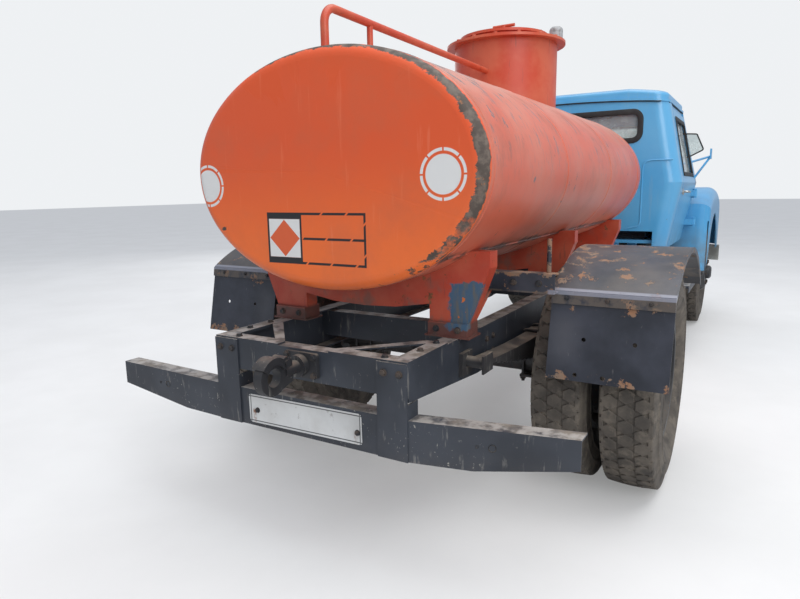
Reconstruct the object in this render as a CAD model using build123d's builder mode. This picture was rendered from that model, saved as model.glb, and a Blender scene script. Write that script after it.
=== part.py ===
from build123d import *
from math import sqrt
import os

# Tanker truck, millimetres. It faces -Y, +X is its left side, and z = 0 is the ground.
# The origin is on the ground, under the middle of the whole truck.
os.makedirs("parts", exist_ok=True)

# Clearances
seat_gap = 0.3
running_clearance = 0.05
swing_clearance = 6

# Length of the truck, from the front bumper to the tow hook
front_overhang = 910
wheelbase = 3700
rear_overhang = 1160
hook_reach = 230
overall_length = front_overhang + wheelbase + rear_overhang + hook_reach
front_y = -overall_length / 2
front_axle_y = front_y + front_overhang
rear_axle_y = front_axle_y + wheelbase
frame_rear_y = rear_axle_y + rear_overhang

# Tyres and rims
tyre_diameter = 970
tyre_width = 230
tread_width = 186
rim_diameter = 508
rim_width = 152
dual_spacing = 273
wheel_z = tyre_diameter / 2
tyre_top = tyre_diameter

# Frame rails and crossmembers
frame_lift = 273
rail_height = 180
rail_end_height = 130
rail_flange = 65
rail_wall = 6
rail_taper_length = 560
frame_half_width = 430
nose_gap = 120
gusset_reach = 250
gusset_web = 42
frame_top = wheel_z + frame_lift
frame_low = frame_top - rail_height
frame_front_y = front_y + nose_gap

# Rear bumper hung below the frame; its left wing is bent straight
bumper_drop = 189
bumper_height = 144
bumper_depth = 70
bumper_wall = 6
left_wing_x = 1050
left_wing_sweep = 22
right_wing_x = 960
right_wing_sweep = 108
wing_taper_start = 640
wing_taper = 45
post_width = 116
crossmember_height = 116
plate_bolt_spacing = 460
plate_bolt_radius = 3.5
bumper_top = frame_top - bumper_drop
bumper_low = bumper_top - bumper_height
plate_z = bumper_low + 65

# Tow hook
hook_eye_radius = 32
hook_thickness = 36
hook_wall = 30
hook_shaft_radius = 24
hook_eye_z = frame_top - crossmember_height / 2

# Steering
steering_room = 235
kingpin_offset = 150
kingpin_radius = 18
knuckle_gap = 6
beam_eye_radius = 38
beam_eye_height = 80
fork_thickness = 30
spindle_radius = 32
steering_arm_length = 180
ball_pin_radius = 10
open_pivot_clearance = 0.6
tie_rod_drop = 34
tie_rod_radius = 14
kingpin_x = frame_half_width + steering_room
front_wheel_x = kingpin_x + kingpin_offset

# Springs and the rear axle
front_spring_width = 65
rear_spring_width = 76
front_spring_room = 125
spring_plate_margin = 12
tube_radius = 55
housing_radius = 168
twin_tyre_gap = 59
front_spring_x = frame_half_width - 45
rear_spring_x = frame_half_width + 55
front_spring_seat = frame_low - front_spring_room
rear_spring_seat = wheel_z + tube_radius + 8
spring_plate_x = rear_spring_x + rear_spring_width / 2 + spring_plate_margin
dual_x = spring_plate_x + twin_tyre_gap + (tyre_width + dual_spacing) / 2

# Hinge pins and barrels
hinge_pin_radius = 6
hinge_barrel_radius = 13
hinge_barrel_length = 48

# Cab: its door opening stands behind the front arch
arch_clearance = 75
arch_to_door = 130
door_length = 840
rear_quarter = 180
cab_wall = 40
floor_thickness = 24
roof_wall = 28
gutter_reach = 12
gutter_height = 14
gutter_drop = 42
roof_rise = 96
roof_edge = 34
roof_fillet = 30
fender_arch_radius = tyre_diameter / 2 + arch_clearance
door_front_y = front_axle_y + fender_arch_radius + arch_to_door
door_rear_y = door_front_y + door_length
cab_rear_y = door_rear_y + rear_quarter
cab_middle_y = (door_front_y + cab_rear_y) / 2
cab_low = frame_top + 62
door_bottom_z = frame_top + 84
cab_floor_z = frame_top + 142
floor_low = cab_floor_z - floor_thickness / 2
rear_wall_low = frame_top + 222
belt_z = frame_top + 572
windscreen_z = frame_top + 867
rear_window_z = frame_top + 977
door_top_z = frame_top + 1104
gutter_z = frame_top + 1172
rear_notch_half = 690
pillar_lean = 130
rear_window_width = 1150
rear_window_height = 215
windscreen_width = 1300
windscreen_height = 400
glass_inset = 16
glass_thickness = 6
# Plan of the cab at each height: z, half width, front y, corner radius
cab_plan = (
    (cab_low, 770, door_front_y - 80, 90),
    (belt_z, 860, door_front_y - 240, 110),
    (gutter_z, 739, door_front_y + 44, 100),
)
belt_row, gutter_row = cab_plan[1:]
cowl_front_y = belt_row[2]
cab_cutter = 3000

# Hinges of the doors and the bonnet
hinge_strap_offset = 32
hinge_strap_height = 12
hinge_ear = 10
hinge_root = 20
door_hinge_x = belt_row[1] + 12
door_hinge_y = door_front_y + swing_clearance
door_hinge_heights = (frame_top + 242, frame_top + 482)
bonnet_hinge_x = 320
bonnet_hinge_y = cowl_front_y
bonnet_hinge_z = belt_z + 85

# Tank
tank_half_width = 637
tank_half_height = 431
tank_lift = 186
tank_rear_gap = 138
cab_tank_gap = 136
rear_knuckle = 45
front_knuckle = 190
tank_z = frame_top + tank_lift + tank_half_height
tank_top = tank_z + tank_half_height
tank_low = tank_z - tank_half_height
tank_rear_y = frame_rear_y - tank_rear_gap
tank_front_y = cab_rear_y + cab_tank_gap
tank_length = tank_rear_y - tank_front_y

# Filler neck and its lid
neck_offset = 1802
neck_radius = 295
neck_rise = 319
neck_wall = 6
neck_flange_radius = 340
neck_flange_thickness = 14
lid_radius = 250
lid_thickness = 14
collar_height = 24
lid_hinge_length = 60
lid_lug_width = 12
breather_reach = 280
breather_radius = 38
pipe_radius = 15
pipe_rise = 138
neck_y = tank_rear_y - neck_offset
neck_top = tank_top + neck_rise
lid_y = neck_y + 30
lid_low = neck_top + collar_height + seat_gap
lid_hinge_y = lid_y - lid_radius - 20
lid_hinge_z = lid_low + lid_thickness / 2
pipe_z = tank_top + pipe_rise

# Drain under the tank
drain_offset = 844
drain_rise = 98
flange_radius = 72
flange_thickness = 16
flange_bolt_circle = 110
flange_bolt_radius = 7
outlet_radius = 30
outlet_depth = 60
flange_x = tank_half_width + 23
drain_y = tank_front_y + drain_offset
drain_z = frame_top + drain_rise

# Saddles: folded plates on blocks that stand on the rails
saddle_sheet = 8
saddle_block_height = 56
saddle_foot_inner = 300
saddle_foot_outer = 462
saddle_horn_x = 545
saddle_band = 96
saddle_low = frame_top + saddle_block_height
rear_saddle_depth = 70
rear_saddle_rear = tank_rear_y - 262
rear_saddle_front = rear_saddle_rear - rear_saddle_depth
# Middle of each saddle along the tank and its depth
saddle_table = (
    (rear_saddle_rear - rear_saddle_depth / 2, rear_saddle_depth),
    ((tank_front_y + tank_rear_y) / 2, 60),
    (tank_front_y + 304, 70),
)

# Rear mudguards, set out from the axle and the tyres
guard_wall = 4
guard_flange = 20
guard_bar_height = 46
guard_bar_thickness = 5
guard_arm_height = 76
guard_arm_wall = 6
guard_hole_radius = 8
guard_inner_x = dual_x - dual_spacing / 2 - 12
guard_outer_x = dual_x + dual_spacing / 2 + tyre_width / 2 + 38
guard_top = tyre_top + 82
guard_front_y = rear_axle_y - tyre_diameter / 2 - 35
guard_front_z = wheel_z + 345
lip_y = rear_axle_y + tyre_diameter / 2 + 15
lip_z = wheel_z + 435
lip_fold = 26
flap_bottom_y = lip_y + 62
flap_bottom_z = wheel_z + 105
guard_arm_z = frame_top + 192
# Holes in each flap: share of the way down, distance from the inner edge
flap_holes = ((0.53, 132), (0.53, 314), (0.93, 110), (0.93, 211))

# Bonnet sections: y, half width, low edge z, shoulder z, crown z
fender_front_y = front_y + 138
bonnet_wall = 12
bonnet_rear_y = cowl_front_y - 12
bonnet_front_y = fender_front_y + 62
bonnet_sections = (
    (bonnet_rear_y, 545, frame_top + 472, frame_top + 572, frame_top + 680),
    ((bonnet_rear_y + bonnet_front_y) / 2, 480, frame_top + 432, frame_top + 532, frame_top + 642),
    (bonnet_front_y, 415, frame_top + 372, frame_top + 462, frame_top + 562),
)

# Front fenders, grille and lamps
fender_outer_x = front_wheel_x + tyre_width / 2 + 60
fender_inner_rear_x = frame_half_width + 140
fender_inner_front_x = frame_half_width + 10
fender_rear_y = door_front_y - 90
fender_low = frame_top - 193
fender_top = frame_top + 527
fender_wall = 10
fender_round = 92
fender_front_drop = 385
fender_rear_drop = 135
fender_crest_length = 200
fender_crest_drop = 60
apron_low = tyre_top + 30
lamp_x = (fender_inner_front_x + fender_outer_x) / 2
lamp_z = frame_top + 227
lamp_radius = 98
lamp_face_y = fender_front_y - 12
lamp_bucket_depth = 100
lamp_bucket_wall = 16
lens_radius = lamp_radius - 8
lens_bulge = 22
lamp_rim_depth = 18
grille_low = frame_top + 4
grille_high = frame_top + 360
grille_bar_pitch = 46
grille_bar_count = 7

# Engine, gearbox and exhaust
engine_half_width = 270
engine_height = 600
engine_lift = 102
sump_drop = 249
sump_height = 62
bell_length = 250
gearbox_height = 220
shaft_drop = 196
shaft_radius = 36
exhaust_radius = 25
muffler_half_length = 280
radiator_depth = 80
engine_front_y = fender_front_y + 232
engine_rear_y = door_front_y - 370
engine_middle_y = (engine_front_y + engine_rear_y) / 2
gearbox_rear_y = door_front_y + 700
shaft_z = frame_top - shaft_drop
muffler_y = front_axle_y - 570
muffler_z = wheel_z - 15

# Running boards and the fuel tank
step_width = 240
step_thickness = 18
step_edge = 52
step_top = frame_low
fuel_tank_width = 320
fuel_tank_height = 270
fuel_tank_length = 720
fuel_strap = 6


def finish(piece, name):
    """Label a finished piece and write it to its own file."""
    piece.part.label = name
    export_step(piece.part, f"parts/{name}.step")


def axle_plane(axle_y):
    """Plane across the truck through an axle: its x is the truck's X, its y is up."""
    return Plane(origin=(0, axle_y, wheel_z), x_dir=(1, 0, 0), z_dir=(0, -1, 0))


def side_plane(x):
    """Plane along the truck at x: its x is the truck's Y, its y is up."""
    return Plane(origin=(x, 0, 0), x_dir=(0, 1, 0), z_dir=(1, 0, 0))


def polygon(points):
    """A closed face with straight sides in the sketch that is open."""
    Polygon(*points, align=None)


def turned(profile, axle_y):
    """Revolve a closed outline of (x, radius) points about an axle."""
    with BuildSketch(axle_plane(axle_y)) as outline:
        polygon(profile)
    revolve(outline.sketch, axis=Axis((0, axle_y, wheel_z), (1, 0, 0)))


# Frame rails: channels that open inwards, with their lower edge rising at both ends.
def rail_outline(inset):
    """Side outline of a rail; the inset draws its top and bottom in."""
    low = frame_low + inset
    low_end = frame_top - rail_end_height + inset
    reach = 1 if inset else 0
    return (
        (frame_front_y - reach, frame_top - inset),
        (frame_rear_y - rail_wall + reach, frame_top - inset),
        (frame_rear_y - rail_wall + reach, low_end),
        (frame_rear_y - rail_taper_length, low),
        (frame_front_y + rail_taper_length, low),
        (frame_front_y - reach, low_end),
    )


for side, word in ((1, "left"), (-1, "right")):
    with BuildPart() as frame_rail:
        with BuildSketch(side_plane(side * frame_half_width)):
            polygon(rail_outline(0))
        extrude(amount=-side * rail_flange)
        with BuildSketch(side_plane(side * (frame_half_width - rail_wall))):
            polygon(rail_outline(rail_wall))
        extrude(amount=-side * rail_flange, mode=Mode.SUBTRACT)
    finish(frame_rail, f"frame_rail_{word}")

# Crossmembers: channels between the rails, and the deep one across the rear end.
crossmember_length = 2 * (frame_half_width - rail_wall)
crossmember_flange = 60
# Place along the truck and height of each inner crossmember
inner_crossmembers = (
    (front_y + 200, 110),
    (gearbox_rear_y + 140, 120),
    (rear_axle_y - 970, 120),
    (rear_axle_y + 470, 120),
)
# Plan of a rear corner gusset and of the triangle cut out of it, as distances in and forward
gusset_plan = (
    (0, 0), (gusset_reach + rail_flange, 0), (gusset_reach + rail_flange, gusset_web),
    (rail_flange + gusset_web / 2, gusset_reach + gusset_web), (0, gusset_reach + gusset_web),
)
gusset_hole = (
    (rail_flange, crossmember_flange), (gusset_reach, crossmember_flange),
    (rail_flange, gusset_reach),
)
with BuildPart() as frame_crossmembers:
    for member_y, member_height in inner_crossmembers:
        with BuildSketch(side_plane(-crossmember_length / 2)):
            with Locations((member_y, frame_top - rail_wall - member_height / 2 - 8)):
                Rectangle(crossmember_flange, member_height)
            with Locations((member_y - rail_wall, frame_top - rail_wall - member_height / 2 - 8)):
                Rectangle(crossmember_flange, member_height - 2 * rail_wall, mode=Mode.SUBTRACT)
        extrude(amount=crossmember_length)
    rear_member_z = frame_top - crossmember_height / 2
    with BuildSketch(side_plane(-frame_half_width)):
        with Locations((frame_rear_y - crossmember_flange / 2, rear_member_z)):
            Rectangle(crossmember_flange, crossmember_height)
        with Locations((frame_rear_y - crossmember_flange / 2 - rail_wall, rear_member_z)):
            Rectangle(crossmember_flange, crossmember_height - 2 * rail_wall, mode=Mode.SUBTRACT)
    extrude(amount=2 * frame_half_width)
    for side in (1, -1):
        with Locations((side * (frame_half_width - rail_flange / 2), frame_rear_y - 40, frame_top - 65)):
            Box(rail_flange, 68, rail_end_height, mode=Mode.SUBTRACT)
        with BuildSketch(Plane.XY.offset(frame_top)):
            polygon([(side * (frame_half_width - x), frame_rear_y - y) for x, y in gusset_plan])
        extrude(amount=rail_wall)
        with BuildSketch(Plane.XY.offset(frame_top)):
            polygon([(side * (frame_half_width - x), frame_rear_y - y) for x, y in gusset_hole])
        extrude(amount=rail_wall, mode=Mode.SUBTRACT)
finish(frame_crossmembers, "frame_crossmembers")

# Rear bumper: a channel in three lengths with wings swept forward, hung on two channel posts.
bumper_line = (
    (-right_wing_x, frame_rear_y - right_wing_sweep),
    (-frame_half_width, frame_rear_y),
    (frame_half_width, frame_rear_y),
    (left_wing_x, frame_rear_y - left_wing_sweep),
)
with BuildPart() as rear_bumper:
    with BuildSketch(Plane.XY.offset(bumper_low)):
        with BuildLine():
            Polyline(*bumper_line)
            Polyline(*[(x, y - bumper_depth) for x, y in bumper_line])
            for end in (0, -1):
                Line(bumper_line[end], (bumper_line[end][0], bumper_line[end][1] - bumper_depth))
        make_face()
    extrude(amount=bumper_height)
    with BuildSketch(Plane.XY.offset(bumper_low - 1)):
        with BuildLine():
            Polyline(*[(x * 1.01, y - bumper_wall) for x, y in bumper_line])
            Polyline(*[(x * 1.01, y - 2 * bumper_depth) for x, y in bumper_line])
            for end in (0, -1):
                x, y = bumper_line[end]
                Line((x * 1.01, y - bumper_wall), (x * 1.01, y - 2 * bumper_depth))
        make_face()
    extrude(amount=bumper_height - bumper_wall + 1, mode=Mode.SUBTRACT)
    with BuildSketch(Plane.XZ.offset(-frame_rear_y - bumper_depth)):
        for end_x in (-right_wing_x, left_wing_x):
            start_x = wing_taper_start if end_x > 0 else -wing_taper_start
            taper_z = bumper_low + wing_taper
            polygon((
                (start_x, bumper_low - 1), (end_x * 1.1, bumper_low - 1), (end_x * 1.1, taper_z),
                (end_x, taper_z), (start_x, bumper_low),
            ))
    extrude(amount=right_wing_sweep + 3 * bumper_depth, mode=Mode.SUBTRACT)
    rail_slope = (rail_height - rail_end_height) / rail_taper_length
    post_cheek = frame_top - rail_end_height - rail_slope * bumper_depth - seat_gap - bumper_top
    for side in (1, -1):
        post_x = side * (frame_half_width - post_width / 2)
        with Locations((post_x, frame_rear_y + bumper_wall / 2, (bumper_low + frame_top) / 2)):
            Box(post_width, bumper_wall, frame_top - bumper_low)
        for cheek in (1, -1):
            cheek_x = post_x + cheek * (post_width - bumper_wall) / 2
            cheek_y = frame_rear_y + (bumper_wall - bumper_depth) / 2
            with Locations((cheek_x, cheek_y, bumper_top + post_cheek / 2)):
                Box(bumper_wall, bumper_depth, post_cheek)
    for side in (1, -1):
        with Locations((side * plate_bolt_spacing / 2, frame_rear_y, plate_z)):
            with Locations(Rotation(90, 0, 0)):
                Cylinder(plate_bolt_radius, 4 * bumper_wall, mode=Mode.SUBTRACT)
finish(rear_bumper, "rear_bumper")

# Tow hook: a forged eye in the upright plane, with its latch, on a shaft through the crossmember.
hook_outer = hook_eye_radius + hook_wall
hook_eye_y = overall_length / 2 - hook_outer
hook_shoulder_y = hook_eye_y - hook_outer - 30
latch_half = hook_thickness / 2 + 9
with BuildPart() as tow_hook:
    with BuildSketch(side_plane(-hook_thickness / 2)):
        with Locations((hook_eye_y, hook_eye_z)):
            Circle(hook_outer)
        polygon((
            (hook_eye_y, hook_eye_z + hook_outer),
            (hook_shoulder_y, hook_eye_z + 46),
            (hook_shoulder_y, hook_eye_z - 34),
            (hook_eye_y, hook_eye_z - hook_outer),
        ))
        with Locations((hook_eye_y, hook_eye_z)):
            Circle(hook_eye_radius, mode=Mode.SUBTRACT)
    extrude(amount=hook_thickness)
    with BuildSketch(side_plane(-latch_half)):
        with BuildLine():
            latch_outer = CenterArc((hook_eye_y, hook_eye_z), hook_outer + 7, 35, 105)
            latch_inner = CenterArc((hook_eye_y, hook_eye_z), hook_eye_radius + 12, 35, 105)
            Line(latch_outer @ 0, latch_inner @ 0)
            Line(latch_outer @ 1, latch_inner @ 1)
        make_face()
    extrude(amount=2 * latch_half)
    with Locations((0, hook_eye_y - hook_outer + 8, hook_eye_z + 40)):
        with Locations(Rotation(0, 90, 0)):
            Cylinder(11, 2 * latch_half + 14)
            Cylinder(22, 2 * latch_half)
    with BuildSketch(Plane.XZ.offset(-(hook_eye_y - hook_outer + 5))):
        with Locations((0, hook_eye_z + 4)):
            Circle(hook_shaft_radius)
    extrude(amount=hook_eye_y - hook_outer + 5 - frame_rear_y)
    with BuildSketch(Plane.XZ.offset(-frame_rear_y)):
        with Locations((0, hook_eye_z + 4)):
            RectangleRounded(150, 92, 12)
    extrude(amount=-14)
    with BuildSketch(Plane.XZ.offset(-(frame_rear_y + 14))):
        with Locations((0, hook_eye_z + 4)):
            Circle(hook_shaft_radius + 16)
    extrude(amount=-26)
finish(tow_hook, "tow_hook")

# Front bumper: a channel with ends swept back.
front_bumper_height = 160
front_bumper_depth = 60
front_bumper_sweep = 150
front_bumper_half = 1010
front_bumper_z = frame_low + 30
front_bumper_bracket = 70
front_bumper_line = (
    (-front_bumper_half, front_y + front_bumper_sweep),
    (-frame_half_width - 160, front_y),
    (frame_half_width + 160, front_y),
    (front_bumper_half, front_y + front_bumper_sweep),
)
with BuildPart() as front_bumper:
    with BuildSketch(Plane.XY.offset(front_bumper_z - front_bumper_height / 2)):
        with BuildLine():
            Polyline(*front_bumper_line)
            Polyline(*[(x, y + front_bumper_depth) for x, y in front_bumper_line])
            for end in (0, -1):
                x, y = front_bumper_line[end]
                Line((x, y), (x, y + front_bumper_depth))
        make_face()
    extrude(amount=front_bumper_height)
    with BuildSketch(Plane.XY.offset(front_bumper_z - front_bumper_height / 2 + bumper_wall)):
        with BuildLine():
            Polyline(*[(x * 1.01, y + bumper_wall) for x, y in front_bumper_line])
            Polyline(*[(x * 1.01, y + 2 * front_bumper_depth) for x, y in front_bumper_line])
            for end in (0, -1):
                x, y = front_bumper_line[end]
                Line((x * 1.01, y + bumper_wall), (x * 1.01, y + 2 * front_bumper_depth))
        make_face()
    extrude(amount=front_bumper_height - 2 * bumper_wall, mode=Mode.SUBTRACT)
    for side in (1, -1):
        bracket_x = side * (frame_half_width - rail_flange / 2)
        with Locations((bracket_x, (front_y + bumper_wall + frame_front_y) / 2, frame_low + 72)):
            Box(rail_flange, nose_gap - bumper_wall, front_bumper_bracket)
finish(front_bumper, "front_bumper")

# Front axle: a forged I-beam with dropped middle and upright eyes for the kingpins.
beam_width = 60
beam_web = 22
beam_height = 76
beam_bend_length = 80
beam_end_length = 65
beam_high = front_spring_seat
beam_low = beam_high - beam_height
beam_end_x = kingpin_x - beam_end_length
beam_flat_x = beam_end_x - beam_bend_length
with BuildPart() as front_axle:
    eye_low = wheel_z - beam_eye_height / 2
    eye_high = wheel_z + beam_eye_height / 2
    with BuildSketch(Plane.XZ.offset(-(front_axle_y + beam_width / 2))):
        half_beam = (
            (beam_flat_x, beam_low), (beam_end_x, eye_low + 8), (kingpin_x, eye_low + 8),
            (kingpin_x, eye_high - 8), (beam_end_x, eye_high - 8), (beam_flat_x, beam_high),
        )
        polygon(half_beam + tuple((-x, z) for x, z in reversed(half_beam)))
    extrude(amount=beam_width)
    for face_side in (1, -1):
        web_y = front_axle_y + face_side * (beam_web + beam_width) / 2
        with Locations((0, web_y, (beam_low + beam_high) / 2)):
            Box(2 * beam_flat_x - 20, beam_width, beam_height - 28, mode=Mode.SUBTRACT)
    for side in (1, -1):
        with Locations((side * kingpin_x, front_axle_y, wheel_z)):
            Cylinder(beam_eye_radius, beam_eye_height)
            Cylinder(kingpin_radius + running_clearance, beam_eye_height + 2, mode=Mode.SUBTRACT)
finish(front_axle, "front_axle")

# Steering knuckles: a fork over the beam's eye, the kingpin, the spindle and a steering arm.
fork_reach = beam_eye_height / 2 + knuckle_gap
fork_web_x = kingpin_x + beam_eye_radius + knuckle_gap
spindle_end_x = front_wheel_x + dual_spacing / 2 - 16
steering_arm_y = front_axle_y + steering_arm_length
steering_arm_z = wheel_z - fork_reach - fork_thickness / 2
tie_rod_z = steering_arm_z - tie_rod_drop
for side, word in ((1, "left"), (-1, "right")):
    pivot_clearance = running_clearance if side > 0 else open_pivot_clearance
    with BuildPart() as knuckle:
        for level in (1, -1):
            fork_low = wheel_z + level * (fork_reach + fork_thickness / 2) - fork_thickness / 2
            with BuildSketch(Plane.XY.offset(fork_low)):
                with Locations((side * kingpin_x, front_axle_y)):
                    Circle(beam_eye_radius - 4)
                with Locations((side * (kingpin_x + fork_web_x + 26) / 2, front_axle_y)):
                    Rectangle(fork_web_x + 26 - kingpin_x, 2 * (beam_eye_radius - 4))
            extrude(amount=fork_thickness)
        with Locations((side * (fork_web_x + 13), front_axle_y, wheel_z)):
            Box(26, 2 * (beam_eye_radius - 4), 2 * (fork_reach + fork_thickness))
        with Locations((side * kingpin_x, front_axle_y, wheel_z)):
            Cylinder(kingpin_radius, 2 * (fork_reach + fork_thickness) + 10)
        with BuildSketch(axle_plane(front_axle_y)):
            with Locations((side * (fork_web_x + 20 + spindle_end_x) / 2, spindle_radius / 2)):
                Rectangle(spindle_end_x - fork_web_x - 20, spindle_radius)
        revolve(axis=Axis((0, front_axle_y, wheel_z), (1, 0, 0)))
        with BuildSketch(Plane.XY.offset(steering_arm_z - 13)):
            with Locations((side * kingpin_x, front_axle_y + steering_arm_length / 2)):
                Rectangle(34, steering_arm_length)
            with Locations((side * kingpin_x, steering_arm_y)):
                Circle(24)
        extrude(amount=26)
        with Locations((side * kingpin_x, steering_arm_y, steering_arm_z)):
            Cylinder(ball_pin_radius + pivot_clearance, 40, mode=Mode.SUBTRACT)
    finish(knuckle, f"knuckle_{word}")

# Tie rod: a tube between two end bosses whose pins stand up through the steering arms.
with BuildPart() as tie_rod:
    with Locations((0, steering_arm_y, tie_rod_z)):
        with Locations(Rotation(0, 90, 0)):
            Cylinder(tie_rod_radius, 2 * kingpin_x)
    for side in (1, -1):
        with Locations((side * kingpin_x, steering_arm_y, tie_rod_z)):
            Cylinder(20, 2 * tie_rod_radius + 6)
        with Locations((side * kingpin_x, steering_arm_y, (tie_rod_z + steering_arm_z + 20) / 2)):
            Cylinder(ball_pin_radius, steering_arm_z + 20 - tie_rod_z)
finish(tie_rod, "tie_rod")

# Wheels: pressed rims and dished discs on cast hubs with brake drums.
rim_seat = rim_diameter / 2
rim_lip = rim_seat + 20
rim_thickness = 8
disc_thickness = 10
disc_radius = 150
hand_hole_radius = 22
hand_hole_circle = 184
hand_hole_count = 6
hub_bore = spindle_radius + running_clearance
drum_radius = rim_seat - 64


def rim_profile(centre):
    """Section of a rim with a lip at each side."""
    half = rim_width / 2
    edge = half + rim_thickness
    return (
        (centre - edge, rim_seat - rim_thickness), (centre + edge, rim_seat - rim_thickness),
        (centre + edge, rim_lip), (centre + half, rim_lip), (centre + half, rim_seat),
        (centre - half, rim_seat), (centre - half, rim_lip), (centre - edge, rim_lip),
    )


def disc_profile(centre, face):
    """Section of a dished disc from the rim's inside to the flat that is bolted to the hub."""
    lean = 1 if face > centre else -1
    start = centre + lean * 24
    rim_inside = rim_seat - rim_thickness + 1
    return (
        (start, rim_inside), (start + lean * 14, rim_inside), (start + lean * 14, rim_inside - 30),
        (face, disc_radius), (face, 60), (face - lean * disc_thickness, 60),
        (face - lean * disc_thickness, disc_radius - 6), (start, rim_inside - 36),
    )


def hand_holes(axle_y, near_x, far_x):
    """Cut the ring of hand holes through a disc between two places along the axle."""
    with BuildSketch(Plane(origin=(near_x, axle_y, wheel_z), x_dir=(0, 1, 0), z_dir=(1, 0, 0))) as ring:
        with PolarLocations(hand_hole_circle, hand_hole_count):
            Circle(hand_hole_radius)
    extrude(ring.sketch, amount=far_x - near_x, mode=Mode.SUBTRACT)


def tyre_profile(centre):
    """Section of a tyre: beads, bulged walls and a slightly crowned tread."""
    bead = rim_width / 2 - 2
    outer = tyre_diameter / 2
    shoulder = outer - 18
    with BuildLine() as section:
        for edge in (1, -1):
            Line((centre + edge * bead, rim_seat + seat_gap), (centre + edge * bead, rim_lip + 6))
            ThreePointArc(
                (centre + edge * bead, rim_lip + 6),
                (centre + edge * tyre_width / 2, (rim_lip + shoulder) / 2 - 8),
                (centre + edge * (tread_width / 2 + 6), shoulder),
            )
            Line((centre + edge * (tread_width / 2 + 6), shoulder), (centre + edge * tread_width / 2, outer - 6))
        ThreePointArc((centre - tread_width / 2, outer - 6), (centre, outer), (centre + tread_width / 2, outer - 6))
        Line((centre - bead, rim_seat + seat_gap), (centre + bead, rim_seat + seat_gap))
    make_face(section.edges())


for side, word in ((1, "left"), (-1, "right")):
    wheel_axis = Axis((0, front_axle_y, wheel_z), (1, 0, 0))
    face_x = side * (front_wheel_x + dual_spacing / 2)
    with BuildPart() as wheel_front:
        turned(rim_profile(side * front_wheel_x), front_axle_y)
        turned(disc_profile(side * front_wheel_x, face_x), front_axle_y)
        hand_holes(front_axle_y, side * (front_wheel_x + 51), face_x + side * 5)
        drum_in = side * (fork_web_x + 26 + knuckle_gap)
        turned((
            (drum_in, drum_radius), (side * (front_wheel_x + 50), drum_radius),
            (side * (front_wheel_x + 50), 70), (face_x + side * 30, 62),
            (face_x + side * 44, 46), (face_x + side * 44, 0), (side * (spindle_end_x + 2), 0),
            (side * (spindle_end_x + 2), hub_bore), (side * (front_wheel_x - 10), hub_bore),
            (side * (front_wheel_x - 10), 60), (side * (front_wheel_x + 36), 60),
            (side * (front_wheel_x + 36), drum_radius - 14), (drum_in, drum_radius - 14),
        ), front_axle_y)
    finish(wheel_front, f"wheel_front_{word}")
    with BuildPart() as tyre_front:
        with BuildSketch(axle_plane(front_axle_y)):
            tyre_profile(side * front_wheel_x)
        revolve(axis=wheel_axis)
    finish(tyre_front, f"tyre_front_{word}")

# Rear axle: tubes on a round differential housing with a pinion nose.
rear_spindle_radius = 45
rear_spindle_end = dual_x + 70
rear_drum_in = dual_x - 227.5
rear_shoulder = rear_drum_in - 18
pinion_length = 290
with BuildPart() as rear_axle:
    turned((
        (-rear_spindle_end, 0), (-rear_spindle_end, rear_spindle_radius), (-rear_shoulder, rear_spindle_radius),
        (-rear_shoulder, tube_radius), (-180, tube_radius), (-125, 92), (-95, 120), (-60, housing_radius - 12),
        (-30, housing_radius), (30, housing_radius),
        (60, housing_radius - 12), (95, 120), (125, 92), (180, tube_radius), (rear_shoulder, tube_radius),
        (rear_shoulder, rear_spindle_radius), (rear_spindle_end, rear_spindle_radius), (rear_spindle_end, 0),
    ), rear_axle_y)
    for side in (1, -1):
        with Locations((side * rear_spring_x, rear_axle_y, (wheel_z + rear_spring_seat) / 2)):
            Box(rear_spring_width, 120, rear_spring_seat - wheel_z)
    with BuildSketch(Plane.XZ.offset(-(rear_axle_y - 100))):
        with Locations((0, wheel_z)):
            Circle(112)
    with BuildSketch(Plane.XZ.offset(-(rear_axle_y - pinion_length))):
        with Locations((0, wheel_z)):
            Circle(58)
    loft()
    with BuildSketch(Plane.XZ.offset(-(rear_axle_y - pinion_length))):
        with Locations((0, wheel_z)):
            Circle(74)
    extrude(amount=20)
finish(rear_axle, "rear_axle")

for side, word in ((1, "left"), (-1, "right")):
    wheel_axis = Axis((0, rear_axle_y, wheel_z), (1, 0, 0))
    inner_x = side * (dual_x - dual_spacing / 2)
    outer_x = side * (dual_x + dual_spacing / 2)
    rear_bore = rear_spindle_radius + running_clearance
    with BuildPart() as wheels_rear:
        for centre in (inner_x, outer_x):
            turned(rim_profile(centre), rear_axle_y)
        turned(disc_profile(inner_x, side * (dual_x + seat_gap)), rear_axle_y)
        turned(disc_profile(outer_x, side * (dual_x - seat_gap)), rear_axle_y)
        hand_holes(rear_axle_y, side * (dual_x + 12), outer_x)
        turned((
            (side * rear_drum_in, drum_radius + 14), (side * (dual_x - 60), drum_radius + 14),
            (side * (dual_x - 60), 90), (side * (dual_x + 60), 84), (side * (dual_x + 110), 70),
            (side * (dual_x + 110), 0), (side * (rear_spindle_end + 4), 0),
            (side * (rear_spindle_end + 4), rear_bore), (side * (rear_drum_in + 22), rear_bore),
            (side * (rear_drum_in + 22), 70), (side * (dual_x - 76), 70), (side * (dual_x - 76), drum_radius),
            (side * rear_drum_in, drum_radius),
        ), rear_axle_y)
    finish(wheels_rear, f"wheels_rear_{word}")
    with BuildPart() as tyres_rear:
        for centre in (inner_x, outer_x):
            with BuildSketch(axle_plane(rear_axle_y)):
                tyre_profile(centre)
            revolve(axis=wheel_axis)
    finish(tyres_rear, f"tyres_rear_{word}")

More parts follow.
